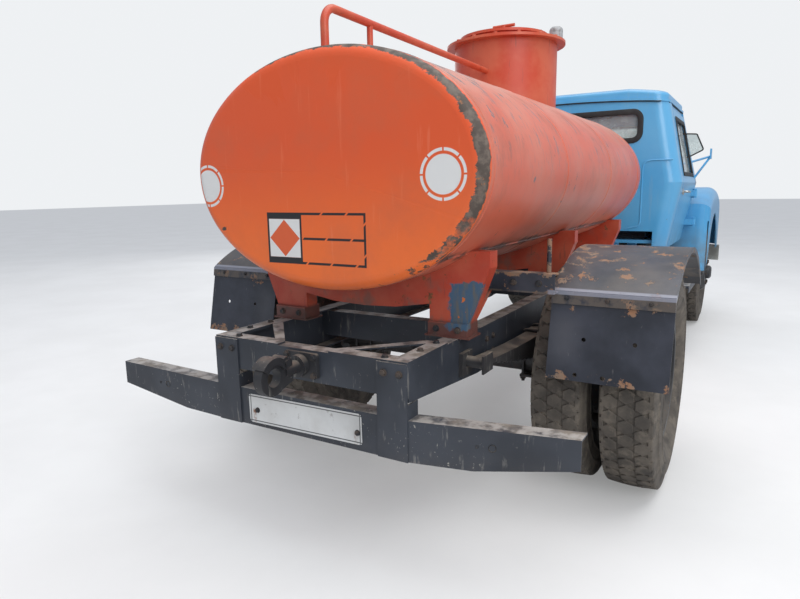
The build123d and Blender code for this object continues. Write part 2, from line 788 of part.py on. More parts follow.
# Leaf springs: a pack of curved leaves on each axle, hung from brackets on the rails.
# Spring x, width, axle y, seat z, leaf count, leaf thickness, half length, camber, hanger top
spring_table = (
    (front_spring_x, front_spring_width, front_axle_y, beam_high, 8, 8, 620, 26, 0),
    (rear_spring_x, rear_spring_width, rear_axle_y, rear_spring_seat, 10, 9, 730, 34, frame_top - 58),
)
with BuildPart() as leaf_springs:
    for spring_x, width, axle_y, seat_z, count, leaf, half, camber, bracket_top in spring_table:
        bend = (half * half + camber * camber) / (2 * camber)
        for side in (1, -1):
            for row in range(count):
                reach = half * (0.32 + 0.68 * row / (count - 1))
                low = seat_z + row * leaf
                rise = bend - sqrt(bend * bend - reach * reach)
                with BuildSketch(side_plane(side * spring_x - width / 2)):
                    with BuildLine():
                        ThreePointArc((axle_y - reach, low + rise), (axle_y, low), (axle_y + reach, low + rise))
                        ThreePointArc(
                            (axle_y - reach, low + rise + leaf),
                            (axle_y, low + leaf),
                            (axle_y + reach, low + rise + leaf),
                        )
                        for end in (-reach, reach):
                            Line((axle_y + end, low + rise), (axle_y + end, low + rise + leaf))
                    make_face()
                extrude(amount=width)
            top_z = seat_z + count * leaf
            with Locations((side * spring_x, axle_y, seat_z + count * leaf / 2)):
                Box(width + 2 * spring_plate_margin, 96, count * leaf)
            for end in (-1, 1):
                eye_y = axle_y + end * half
                eye_z = top_z + camber
                with BuildSketch(side_plane(side * spring_x - width / 2)):
                    with Locations((eye_y, eye_z - leaf)):
                        Circle(22)
                extrude(amount=width)
                bracket_z = bracket_top or frame_low
                if bracket_top:
                    foot = spring_x - width / 2 - frame_half_width
                    with Locations((side * (frame_half_width + foot / 2), eye_y, bracket_z - 45)):
                        Box(foot, 90, 90)
                for cheek in (-1, 1):
                    cheek_x = side * spring_x + cheek * (width / 2 + 4)
                    with Locations((cheek_x, eye_y, (eye_z - 40 + bracket_z) / 2)):
                        Box(8, 90, bracket_z - eye_z + 40)
finish(leaf_springs, "leaf_springs")

# Engine as one plain block, with the gearbox behind it and the exhaust in front of the axle.
engine_z = frame_top + engine_lift
bell_rear_y = engine_rear_y + bell_length
gearbox_z = frame_top - 118
foot_length = frame_half_width - 40 - engine_half_width
with BuildPart() as engine_block:
    with Locations((0, engine_middle_y, engine_z)):
        Box(2 * engine_half_width, engine_rear_y - engine_front_y, engine_height)
    for side in (1, -1):
        for foot_y in (engine_front_y + 130, engine_rear_y - 130):
            with Locations((side * (engine_half_width + foot_length / 2), foot_y, frame_top + 16)):
                Box(foot_length + 2, 70, 32)
    with Locations((0, engine_middle_y, frame_top - sump_drop + sump_height / 2)):
        Box(300, 700, sump_height)
    with BuildSketch(Plane.XZ.offset(-engine_rear_y)):
        with Locations((0, gearbox_z + 20)):
            RectangleRounded(440, 400, 120)
    with BuildSketch(Plane.XZ.offset(-bell_rear_y)):
        with Locations((0, gearbox_z)):
            RectangleRounded(300, 260, 60)
    loft()
    with Locations((0, (gearbox_rear_y + bell_rear_y) / 2, gearbox_z)):
        Box(280, gearbox_rear_y - bell_rear_y, gearbox_height)
finish(engine_block, "engine_block")

# Drive shaft from the gearbox to the pinion, with a flange at each end.
shaft_rear_y = rear_axle_y - pinion_length - 20
shaft_length = sqrt((shaft_rear_y - gearbox_rear_y) ** 2 + (shaft_z - wheel_z) ** 2)
shaft_plane = Plane(
    origin=(0, gearbox_rear_y, shaft_z),
    x_dir=(1, 0, 0),
    z_dir=(0, shaft_rear_y - gearbox_rear_y, wheel_z - shaft_z),
)
with BuildPart() as drive_shaft:
    with BuildSketch(shaft_plane.offset(2)):
        Circle(shaft_radius + 18)
    extrude(amount=16)
    with BuildSketch(shaft_plane.offset(10)):
        Circle(shaft_radius)
    extrude(amount=shaft_length - 20)
    with BuildSketch(shaft_plane.offset(shaft_length - 19)):
        Circle(shaft_radius + 24)
    extrude(amount=16)
finish(drive_shaft, "drive_shaft")

exhaust_x = engine_half_width + 40
exhaust_top = frame_top - 58
with BuildPart() as exhaust:
    with BuildLine() as exhaust_path:
        FilletPolyline(
            (exhaust_x, front_axle_y - 70, exhaust_top),
            (exhaust_x, front_axle_y - 310, muffler_z),
            (exhaust_x, muffler_y, muffler_z),
            (exhaust_x - 60, muffler_y, muffler_z),
            radius=50,
        )
    with BuildSketch(Plane(origin=exhaust_path.line @ 0, z_dir=exhaust_path.line % 0)):
        Circle(exhaust_radius)
    sweep(path=exhaust_path.line)
    with BuildSketch(side_plane(-muffler_half_length - 10)):
        with Locations((muffler_y, muffler_z)):
            Ellipse(110, 65)
    extrude(amount=2 * muffler_half_length)
    with Locations((engine_half_width + seat_gap + 32, front_axle_y - 70, exhaust_top)):
        Box(64, 90, 70)
finish(exhaust, "exhaust")

# Tank: an elliptical shell with flat turned-in heads, carried by three saddles on the rails.
with BuildPart() as tank_shell:
    with BuildSketch(Plane.XZ.offset(-tank_rear_y)):
        with Locations((0, tank_z)):
            Ellipse(tank_half_width, tank_half_height)
    extrude(amount=tank_length)
    fillet(tank_shell.edges().sort_by(Axis.Y)[-1], rear_knuckle)
    fillet(tank_shell.edges().sort_by(Axis.Y)[0], front_knuckle)
finish(tank_shell, "tank_shell")

arm_low = guard_arm_z - guard_arm_height / 2
# Half outline of a saddle's web, from the foot's inner corner out and up to the horn
saddle_outer = (
    (saddle_foot_inner, saddle_low), (saddle_foot_outer, saddle_low),
    (saddle_horn_x, tank_z - 350), (saddle_horn_x, tank_z - 290),
)
saddle_inner = (
    (0, tank_low - saddle_band), (saddle_foot_inner / 2, tank_low - saddle_band + 6),
    (saddle_foot_inner, tank_low - saddle_band + 30),
)
half_web = saddle_inner + saddle_outer
with BuildPart() as tank_saddles:
    for saddle_y, saddle_depth in saddle_table:
        face_y = saddle_y + saddle_depth / 2
        for inset in (0, saddle_sheet):
            with BuildSketch(Plane.XZ.offset(-(face_y - inset))):
                polygon(half_web + tuple((-x, z) for x, z in reversed(half_web[1:])))
                if inset:
                    offset(amount=-inset, kind=Kind.INTERSECTION, mode=Mode.REPLACE)
                with Locations((0, tank_z)):
                    Ellipse(tank_half_width + inset, tank_half_height + inset, mode=Mode.SUBTRACT)
            extrude(amount=saddle_depth, mode=Mode.SUBTRACT if inset else Mode.ADD)
        for side in (1, -1):
            block_x = side * (saddle_foot_inner + saddle_foot_outer) / 2
            with Locations((block_x, saddle_y, (frame_top + rail_wall + saddle_low) / 2)):
                Box(
                    saddle_foot_outer - saddle_foot_inner,
                    saddle_depth + 30,
                    saddle_block_height - rail_wall,
                )
            with Locations((block_x, saddle_y, frame_top + rail_wall / 2)):
                Box(saddle_foot_outer - saddle_foot_inner + 24, saddle_depth + 40, rail_wall)
    for side in (1, -1):
        with BuildSketch(side_plane(side * (saddle_foot_outer - 40))):
            polygon((
                (rear_saddle_front + 8, saddle_low - 4), (rear_saddle_front - 14, saddle_low - 4),
                (lip_y + 16, arm_low - seat_gap), (lip_y + 40, arm_low - seat_gap),
            ))
        extrude(amount=side * 36)
finish(tank_saddles, "tank_saddles")

# Filler neck with its flange, the loading pipe along the tank's top and the breather.
pipe_start_y = tank_rear_y - 60
with BuildPart() as filler_neck:
    with BuildSketch(Plane.XY.offset(tank_z + 200)):
        with Locations((0, neck_y)):
            Circle(neck_radius)
    extrude(amount=neck_top - tank_z - 200)
    with BuildSketch(Plane.XZ.offset(-tank_rear_y)):
        with Locations((0, tank_z)):
            Ellipse(tank_half_width, tank_half_height)
    extrude(amount=tank_length, mode=Mode.SUBTRACT)
    with BuildSketch(Plane.XY.offset(neck_top - neck_flange_thickness)):
        with Locations((0, neck_y)):
            Circle(neck_flange_radius)
    extrude(amount=neck_flange_thickness)
    with BuildLine() as pipe_path:
        FilletPolyline(
            (0, pipe_start_y, tank_top),
            (0, pipe_start_y, pipe_z),
            (0, neck_y + neck_radius - 4, pipe_z),
            radius=60,
        )
    with BuildSketch(Plane(origin=pipe_path.line @ 0, z_dir=pipe_path.line % 0)):
        Circle(pipe_radius)
    sweep(path=pipe_path.line)
    with Locations((0, pipe_start_y - 290, (pipe_z + tank_top) / 2)):
        Cylinder(pipe_radius - 3, pipe_rise)
    with BuildSketch(Plane.XY.offset(tank_top + 12)):
        with Locations((0, neck_y)):
            Circle(neck_radius - neck_wall)
    extrude(amount=neck_rise - 10 - 12, mode=Mode.SUBTRACT)
    with BuildSketch(Plane.XY.offset(neck_top)):
        with Locations((0, lid_y)):
            Circle(lid_radius - 18)
    extrude(amount=collar_height)
    with BuildSketch(Plane.XY.offset(neck_top - 20)):
        with Locations((0, lid_y)):
            Circle(lid_radius - 26)
    extrude(amount=60, mode=Mode.SUBTRACT)
    with Locations((-breather_reach, neck_y - 60, neck_top + 40)):
        Cylinder(breather_radius, 80)
    fillet(filler_neck.faces().sort_by(Axis.Z)[-1].edges(), 22)
    with Locations((0, lid_hinge_y, lid_hinge_z)):
        with Locations(Rotation(0, 90, 0)):
            Cylinder(hinge_pin_radius, lid_hinge_length + 2 * lid_lug_width + 14)
    for side in (1, -1):
        lug_x = side * (lid_hinge_length / 2 + swing_clearance - 1 + lid_lug_width / 2)
        with Locations((lug_x, lid_hinge_y, (neck_top - 4 + lid_hinge_z) / 2)):
            Box(lid_lug_width, 2 * hinge_barrel_radius, lid_hinge_z - neck_top + 4)
        with Locations((lug_x, lid_hinge_y, lid_hinge_z)):
            with Locations(Rotation(0, 90, 0)):
                Cylinder(hinge_barrel_radius, lid_lug_width)
finish(filler_neck, "filler_neck")

clamp_half = lid_radius - 20
clamp_low = lid_low + lid_thickness
with BuildPart() as filler_lid:
    with BuildSketch(Plane.XY.offset(lid_low)):
        with Locations((0, lid_y)):
            Circle(lid_radius)
    extrude(amount=lid_thickness)
    with Locations((0, lid_hinge_y, lid_hinge_z)):
        with Locations(Rotation(0, 90, 0)):
            Cylinder(hinge_barrel_radius - 2, lid_hinge_length)
    with Locations((0, lid_hinge_y + 17, lid_low + lid_thickness / 2)):
        Box(lid_hinge_length, 34, lid_thickness)
    with Locations((0, lid_hinge_y, lid_hinge_z)):
        with Locations(Rotation(0, 90, 0)):
            Cylinder(hinge_pin_radius + running_clearance, lid_hinge_length + 2, mode=Mode.SUBTRACT)
    with BuildSketch(Plane.XZ.offset(-(lid_y + 20))):
        polygon((
            (-clamp_half, clamp_low), (clamp_half, clamp_low), (clamp_half, clamp_low + 12),
            (34, clamp_low + 46), (-34, clamp_low + 46), (-clamp_half, clamp_low + 12),
        ))
    extrude(amount=40)
    with Locations((0, lid_y, clamp_low + 50)):
        Cylinder(14, 40)
    with Locations((0, lid_y, clamp_low + 66)):
        with Locations(Rotation(0, 90, 0)):
            Cylinder(9, 130)
finish(filler_lid, "filler_lid")

# Drain: a sump under the tank, a cross pipe with a valve and a bolted outlet flange on the left.
with BuildPart() as drain_valve:
    with Locations((0, drain_y, tank_low - 44)):
        Cylinder(90, 100)
    with BuildSketch(Plane.XZ.offset(-tank_rear_y)):
        with Locations((0, tank_z)):
            Ellipse(tank_half_width, tank_half_height)
    extrude(amount=tank_length, mode=Mode.SUBTRACT)
    with BuildSketch(side_plane(0)):
        with Locations((drain_y, drain_z)):
            Circle(38)
    extrude(amount=flange_x)
    with BuildSketch(side_plane(flange_x - flange_thickness)):
        with Locations((drain_y, drain_z)):
            Circle(flange_radius)
    extrude(amount=flange_thickness)
    with Locations((flange_x - 120, drain_y, drain_z)):
        Box(110, 110, 110)
    with Locations((flange_x - 120, drain_y, drain_z + 75)):
        Cylinder(14, 60)
    with BuildSketch(side_plane(flange_x)):
        with Locations((drain_y, drain_z)):
            Circle(outlet_radius)
    extrude(amount=-outlet_depth, mode=Mode.SUBTRACT)
    with BuildSketch(side_plane(flange_x)):
        with Locations((drain_y, drain_z)):
            with PolarLocations(flange_bolt_circle / 2, 4, start_angle=45):
                Circle(flange_bolt_radius)
    extrude(amount=-flange_thickness, mode=Mode.SUBTRACT)
finish(drain_valve, "drain_valve")

# Rear mudguards: a rolled top with a flanged outer edge, a ledge and a flat flap, each on an arm from
# the rear saddle and a bracket in front.
guard_crest = (rear_axle_y - 10, guard_top)
arm_inner_x = frame_half_width - 60
link_x = frame_half_width + 10
for side, word in ((1, "left"), (-1, "right")):
    with BuildPart() as mudguard:
        with BuildSketch(side_plane(side * guard_inner_x)):
            with BuildLine():
                ThreePointArc((guard_front_y, guard_front_z), guard_crest, (lip_y, lip_z))
                Line((lip_y, lip_z), (lip_y, lip_z - lip_fold))
                Line((lip_y, lip_z - lip_fold), (flap_bottom_y, flap_bottom_z))
            trace(line_width=guard_wall)
        extrude(amount=side * (guard_outer_x - guard_inner_x))
        with BuildSketch(side_plane(side * (guard_outer_x - guard_wall))):
            with BuildLine():
                ThreePointArc((guard_front_y, guard_front_z), guard_crest, (lip_y, lip_z))
                ThreePointArc(
                    (guard_front_y + 12, guard_front_z - guard_flange / 2),
                    (guard_crest[0], guard_crest[1] - guard_flange),
                    (lip_y, lip_z - guard_flange),
                )
                Line((guard_front_y, guard_front_z), (guard_front_y + 12, guard_front_z - guard_flange / 2))
                Line((lip_y, lip_z), (lip_y, lip_z - guard_flange))
            make_face()
        extrude(amount=side * guard_wall)
        with BuildSketch(side_plane(side * guard_inner_x)):
            polygon((
                (lip_y, lip_z - 2), (lip_y + guard_wall / 2 + guard_bar_thickness, lip_z - 2),
                (lip_y + 9 + guard_bar_thickness, lip_z - 2 - guard_bar_height),
                (lip_y + 9, lip_z - 2 - guard_bar_height), (lip_y, lip_z - 2 - guard_bar_thickness),
            ))
        extrude(amount=side * (guard_outer_x - guard_inner_x))
        for share, reach in flap_holes:
            hole_y = lip_y + share * (flap_bottom_y - lip_y)
            hole_z = lip_z + share * (flap_bottom_z - lip_z)
            with BuildSketch(Plane.XZ.offset(-hole_y - 25)):
                with Locations((side * (guard_inner_x + reach), hole_z)):
                    Circle(guard_hole_radius)
            extrude(amount=50, mode=Mode.SUBTRACT)
        with BuildSketch(side_plane(side * arm_inner_x)):
            with Locations((lip_y + 28, guard_arm_z)):
                Rectangle(56, guard_arm_height)
            with Locations((lip_y + 28 - guard_arm_wall, guard_arm_z)):
                Rectangle(56, guard_arm_height - 2 * guard_arm_wall, mode=Mode.SUBTRACT)
        extrude(amount=side * (guard_inner_x + 24 - arm_inner_x))
        link_end = rear_saddle_rear - saddle_sheet - seat_gap
        link_length = link_end - lip_y - 50
        with Locations((side * link_x, link_end - link_length / 2, guard_arm_z)):
            Box(56, link_length, 44)
        with Locations((side * (guard_inner_x - 12), lip_y + 14, guard_arm_z + 102)):
            Cylinder(9, 130)
        front_arm_y = guard_front_y + 22
        with Locations((side * (guard_inner_x + frame_half_width) / 2, front_arm_y, guard_front_z + 40)):
            Box(guard_inner_x - frame_half_width + 20, 30, 44)
        with Locations((side * (frame_half_width + 5), front_arm_y, (guard_front_z + frame_low + 62) / 2)):
            Box(10, 60, guard_front_z - frame_low - 2)
    finish(mudguard, f"mudguard_{word}")

# Cab shell: a ruled body over three plans, hollow, then split where the real panels meet.
def cab_skin(inset, mode=Mode.ADD):
    """The cab's outer form drawn in by an inset, from the sill to the gutter."""
    plans = []
    for z, half_width, plan_front_y, corner in cab_plan:
        with BuildSketch(Plane.XY.offset(z)) as plan:
            with Locations((0, (plan_front_y + cab_rear_y) / 2)):
                RectangleRounded(
                    2 * (half_width - inset),
                    cab_rear_y - plan_front_y - 2 * inset,
                    corner - inset * 0.6,
                )
        plans.append(plan.sketch)
    loft(plans, ruled=True, mode=mode)


def cab_half_width(z):
    """Half width of the cab's outer face at a height."""
    low, high = (cab_plan[0], cab_plan[1]) if z < cab_plan[1][0] else (cab_plan[1], cab_plan[2])
    share = (z - low[0]) / (high[0] - low[0])
    return low[1] + share * (high[1] - low[1])


def cab_window(plane, centre, width, height, corner, mode):
    """A rounded window opening pushed through a wall along the plane's normal."""
    with BuildSketch(plane) as opening:
        with Locations(centre):
            RectangleRounded(width, height, corner)
    extrude(opening.sketch, amount=400, mode=mode)


def door_side(gap):
    """Side outline of a door, drawn in by a gap all round."""
    return (
        (door_front_y + gap, door_bottom_z + gap),
        (door_front_y + gap, belt_z + 40),
        (door_front_y + pillar_lean + gap, door_top_z - gap),
        (door_rear_y - gap * 2, door_top_z - gap),
        (door_rear_y - gap * 2, door_bottom_z + gap),
    )


def door_window(gap):
    """Side outline of a door's window, drawn in by a gap."""
    return (
        (door_front_y + 86 + gap, belt_z + 60 + gap),
        (door_front_y + 208 + gap, door_top_z - 64 - gap),
        (door_rear_y - 86 - gap, door_top_z - 64 - gap),
        (door_rear_y - 86 - gap, belt_z + 60 + gap),
    )


def gutter_arc(width, lift):
    """The gutter's line across the cab: high in the middle, lower at both sides."""
    side_z = gutter_z - gutter_drop + lift
    return ThreePointArc((-width, side_z), (0, gutter_z + lift), (width, side_z))


def crowned_slab(low_lift, high_lift, high_drop):
    """A slab along the truck between the gutter's line and a higher line."""
    width = gutter_row[1] + 60
    with BuildLine() as outline:
        low_line = gutter_arc(width, low_lift)
        high_line = ThreePointArc(
            (-width, gutter_z - gutter_drop + high_lift - high_drop),
            (0, gutter_z + high_lift),
            (width, gutter_z - gutter_drop + high_lift - high_drop),
        )
        Line(low_line @ 0, high_line @ 0)
        Line(low_line @ 1, high_line @ 1)
    with BuildSketch(Plane.XZ.offset(cab_cutter)) as section:
        make_face(outline.edges())
    return extrude(section.sketch, amount=-2 * cab_cutter, mode=Mode.PRIVATE)


def below_gutter():
    """Keep what lies below the roof's lower edge."""
    add(crowned_slab(-seat_gap, cab_cutter, 0), mode=Mode.SUBTRACT)


rear_window = (Plane.XZ.offset(-(cab_rear_y + 20)), (0, rear_window_z), rear_window_width, rear_window_height, 60)
windscreen = (Plane.XZ.offset(-door_front_y - 80), (0, windscreen_z), windscreen_width, windscreen_height, 90)

with BuildPart() as cab_rear_wall:
    cab_skin(0)
    cab_skin(cab_wall, mode=Mode.SUBTRACT)
    with BuildSketch(side_plane(-cab_cutter / 2)):
        with Locations((door_rear_y + cab_cutter / 2, cab_low)):
            Rectangle(cab_cutter, cab_cutter)
    extrude(amount=cab_cutter, mode=Mode.INTERSECT)
    with Locations((0, cab_rear_y, rear_wall_low - cab_cutter / 2)):
        Box(2 * rear_notch_half, 3 * cab_wall, cab_cutter, mode=Mode.SUBTRACT)
    below_gutter()
    cab_window(*rear_window, mode=Mode.SUBTRACT)
finish(cab_rear_wall, "cab_rear_wall")

with BuildPart() as cab_cowl:
    cab_skin(0)
    cab_skin(cab_wall, mode=Mode.SUBTRACT)
    with BuildSketch(side_plane(-cab_cutter / 2)):
        polygon((
            (cowl_front_y - 200, cab_low - 100), (door_front_y, cab_low - 100), (door_front_y, belt_z + 40),
            (door_front_y + pillar_lean, door_top_z), (door_front_y + pillar_lean, gutter_z + 100),
            (cowl_front_y - 200, gutter_z + 100),
        ))
    extrude(amount=cab_cutter, mode=Mode.INTERSECT)
    below_gutter()
    cab_window(*windscreen, mode=Mode.SUBTRACT)
    for side in (1, -1):
        for hinge_z in door_hinge_heights:
            with Locations((side * door_hinge_x, door_hinge_y, hinge_z)):
                Cylinder(hinge_pin_radius, 2 * hinge_strap_offset + hinge_strap_height)
            root_x = cab_half_width(hinge_z) - hinge_root
            for level in (1, -1):
                strap_z = hinge_z + level * hinge_strap_offset - hinge_strap_height / 2
                with BuildSketch(Plane.XY.offset(strap_z)) as strap:
                    polygon((
                        (side * root_x, door_front_y - 50),
                        (side * root_x, door_front_y - hinge_ear),
                        (side * (door_hinge_x - hinge_ear), door_front_y),
                        (side * (door_hinge_x - hinge_ear), door_hinge_y + hinge_ear),
                        (side * (door_hinge_x + hinge_ear), door_hinge_y + hinge_ear),
                        (side * (door_hinge_x + hinge_ear), door_hinge_y - hinge_ear),
                        (side * (door_hinge_x - 8), door_front_y - 50),
                    ))
                extrude(strap.sketch, amount=hinge_strap_height)
        with Locations((side * bonnet_hinge_x, bonnet_hinge_y + 24, bonnet_hinge_z)):
            Box(16, 72, 26)
        with Locations((side * (bonnet_hinge_x - 24), bonnet_hinge_y, bonnet_hinge_z)):
            with Locations(Rotation(0, 90, 0)):
                Cylinder(hinge_pin_radius, 50)
finish(cab_cowl, "cab_cowl")

roof_middle_y = (gutter_row[2] + cab_rear_y) / 2
roof_length = cab_rear_y - gutter_row[2]


def roof_form(inset, drop, mode):
    """The roof's crowned form, drawn in by an inset and lowered by a drop."""
    with BuildSketch(Plane.XY.offset(gutter_z - 2 * gutter_drop)) as plan:
        with Locations((0, roof_middle_y)):
            RectangleRounded(2 * (gutter_row[1] - inset), roof_length - 2 * inset, gutter_row[3] - inset)
    with BuildLine() as ridge:
        crown = ThreePointArc(
            (gutter_row[2] - 100, gutter_z + roof_edge - drop),
            (roof_middle_y + 60, gutter_z + roof_rise - drop),
            (cab_rear_y + 100, gutter_z + roof_edge + 16 - drop),
        )
        Polyline(crown @ 1, (cab_rear_y + 100, gutter_z - 300), (gutter_row[2] - 100, gutter_z - 300), crown @ 0)
    with BuildSketch(side_plane(-cab_cutter / 2)) as side_view:
        make_face(ridge.edges())
    with BuildPart(mode=Mode.PRIVATE) as form:
        extrude(plan.sketch, amount=roof_rise + 3 * gutter_drop)
        extrude(side_view.sketch, amount=cab_cutter, mode=Mode.INTERSECT)
        add(crowned_slab(-drop if drop else 0, roof_rise - drop, roof_edge), mode=Mode.INTERSECT)
        if not drop:
            fillet(form.faces().filter_by(lambda face: face.normal_at().Z > 0.7).edges(), roof_fillet)
    add(form.part, mode=mode)


with BuildPart() as cab_roof:
    roof_form(0, 0, Mode.ADD)
    roof_form(cab_wall, roof_wall, Mode.SUBTRACT)
    with BuildSketch(Plane.XY.offset(gutter_z - 2 * gutter_drop)) as gutter_plan:
        with Locations((0, roof_middle_y)):
            RectangleRounded(
                2 * (gutter_row[1] + gutter_reach),
                roof_length + 2 * gutter_reach,
                gutter_row[3] + gutter_reach,
            )
            RectangleRounded(
                2 * (gutter_row[1] - cab_wall),
                roof_length - 2 * cab_wall,
                gutter_row[3] - cab_wall,
                mode=Mode.SUBTRACT,
            )
    with BuildPart(mode=Mode.PRIVATE) as gutter:
        extrude(gutter_plan.sketch, amount=3 * gutter_drop)
        add(crowned_slab(0, gutter_height, 0), mode=Mode.INTERSECT)
    add(gutter.part)
    for side in (1, -1):
        header_x = side * (gutter_row[1] - 14)
        header_front_y = door_front_y + pillar_lean + 2
        header_top = gutter_z - gutter_drop + 6
        with Locations((header_x, (header_front_y + door_rear_y - 2) / 2, (door_top_z + header_top) / 2)):
            Box(30, door_rear_y - 2 - header_front_y, header_top - door_top_z)
finish(cab_roof, "cab_roof")

with BuildPart() as cab_floor:
    cab_skin(cab_wall + seat_gap)
    with Locations((0, cab_middle_y, cab_floor_z)):
        Box(cab_cutter, cab_cutter, floor_thickness, mode=Mode.INTERSECT)
    for side in (1, -1):
        sill_x = cab_half_width(floor_low) - cab_wall - swing_clearance
        with Locations((side * (sill_x + 100), cab_middle_y, cab_floor_z)):
            Box(200, cab_rear_y - door_front_y + 2 * swing_clearance, 2 * floor_thickness, mode=Mode.SUBTRACT)
        for mount_y in (door_front_y + 60, cab_rear_y - 140):
            with Locations((side * (frame_half_width - 40), mount_y, (frame_top + floor_low) / 2)):
                Box(70, 90, floor_low - frame_top)
finish(cab_floor, "cab_floor")

with BuildPart() as cab_glass:
    with BuildSketch(side_plane(-windscreen_width)):
        polygon((
            (belt_row[2] + glass_inset, belt_row[0]),
            (belt_row[2] + glass_inset + glass_thickness, belt_row[0]),
            (gutter_row[2] + glass_inset + glass_thickness, gutter_row[0]),
            (gutter_row[2] + glass_inset, gutter_row[0]),
        ))
        with Locations((cab_rear_y - glass_inset - glass_thickness / 2, rear_window_z)):
            Rectangle(glass_thickness, 2 * rear_window_height)
    extrude(amount=2 * windscreen_width)
    with BuildPart(mode=Mode.PRIVATE) as panes:
        for plane, centre, width, height, corner in (rear_window, windscreen):
            cab_window(plane, centre, width - 2 * seat_gap, height - 2 * seat_gap, corner, Mode.ADD)
    add(panes.part, mode=Mode.INTERSECT)
finish(cab_glass, "cab_glass")

for side, word in ((1, "left"), (-1, "right")):
    with BuildPart() as door:
        cab_skin(0)
        cab_skin(cab_wall, mode=Mode.SUBTRACT)
        with BuildSketch(side_plane(side * 500)) as outline:
            polygon(door_side(swing_clearance))
        extrude(outline.sketch, amount=side * 600, mode=Mode.INTERSECT)
        with BuildSketch(side_plane(side * 500)) as opening:
            polygon(door_window(0))
        extrude(opening.sketch, amount=side * 600, mode=Mode.SUBTRACT)
        for hinge_z in door_hinge_heights:
            with Locations((side * door_hinge_x, door_hinge_y, hinge_z)):
                Cylinder(hinge_barrel_radius, hinge_barrel_length)
            root_x = cab_half_width(hinge_z) - hinge_root
            with Locations((side * (door_hinge_x - 5 + root_x) / 2, door_hinge_y + 22, hinge_z)):
                Box(door_hinge_x - 5 - root_x, 44, hinge_barrel_length)
            with Locations((side * door_hinge_x, door_hinge_y, hinge_z)):
                Cylinder(hinge_pin_radius + running_clearance, hinge_barrel_length + 2, mode=Mode.SUBTRACT)
    finish(door, f"door_{word}")
    with BuildPart() as door_glass:
        cab_skin(glass_inset)
        cab_skin(glass_inset + glass_thickness, mode=Mode.SUBTRACT)
        with BuildSketch(side_plane(side * 500)) as opening:
            polygon(door_window(seat_gap))
        extrude(opening.sketch, amount=side * 600, mode=Mode.INTERSECT)
    finish(door_glass, f"door_glass_{word}")

# Bonnet: a crowned shell over three sections, hinged at its rear edge.
def bonnet_skin(inset, mode=Mode.ADD):
    """The bonnet's form drawn in by an inset; the inset one is open below and behind."""
    faces = []
    for row, (section_y, half_width, low, shoulder, crown) in enumerate(bonnet_sections):
        shift = inset if row == len(bonnet_sections) - 1 else -inset if row == 0 else 0
        width = half_width - inset
        with BuildLine() as arch:
            Polyline((-width, shoulder), (-width, low - inset), (width, low - inset), (width, shoulder))
            ThreePointArc((-width, shoulder), (0, crown - inset), (width, shoulder))
        with BuildSketch(Plane.XZ.offset(-(section_y + shift))) as section:
            make_face(arch.edges())
        faces.append(section.sketch)
    loft(faces, ruled=True, mode=mode)


with BuildPart() as bonnet:
    bonnet_skin(0)
    bonnet_skin(bonnet_wall, mode=Mode.SUBTRACT)
    for side in (1, -1):
        barrel_x = side * (bonnet_hinge_x - 30)
        with Locations((barrel_x, bonnet_hinge_y, bonnet_hinge_z)):
            with Locations(Rotation(0, 90, 0)):
                Cylinder(hinge_barrel_radius - 2, 36)
        with Locations((barrel_x, bonnet_hinge_y - 22, bonnet_hinge_z - 8)):
            Box(36, 34, 14)
        with Locations((barrel_x, bonnet_hinge_y, bonnet_hinge_z)):
            with Locations(Rotation(0, 90, 0)):
                Cylinder(hinge_pin_radius + running_clearance, 40, mode=Mode.SUBTRACT)
finish(bonnet, "bonnet")


# Front fenders: high rounded wings over the steered wheels, open inside and below.
def fender_block(side, inset, mode=Mode.ADD):
    """A fender's solid form drawn in by an inset."""
    rear = fender_rear_y - inset
    front = fender_front_y + inset
    top = fender_top - inset
    low = fender_low - (200 if inset else 0)
    with BuildLine() as outline:
        Polyline(
            (front, top - fender_front_drop),
            (front, low + fender_rear_drop),
            (rear, low),
            (rear, top - fender_rear_drop),
        )
        crest = ThreePointArc(
            (rear, top - fender_rear_drop),
            (front_axle_y, top),
            (front + fender_crest_length, top - fender_crest_drop),
        )
        TangentArc(crest @ 1, (front, top - fender_front_drop), tangent=crest % 1)
    with BuildSketch(side_plane(side * 300)) as profile:
        make_face(outline.edges())
    with BuildPart(mode=Mode.PRIVATE) as block:
        extrude(profile.sketch, amount=side * (fender_outer_x - inset - 300))
        outer = block.faces().sort_by(Axis.X)[-1 if side > 0 else 0]
        fillet(outer.edges().sort_by(Axis.Z)[1:], fender_round - inset)
        with BuildSketch(Plane.XY.offset(300)) as plan:
            polygon((
                (side * (fender_inner_rear_x + inset), fender_rear_y + 20),
                (side * (fender_outer_x + 20), fender_rear_y + 20),
                (side * (fender_outer_x + 20), fender_front_y - 20),
                (side * (fender_inner_front_x + inset), fender_front_y - 20),
            ))
        extrude(plan.sketch, amount=1500, mode=Mode.INTERSECT)
    add(block.part, mode=mode)


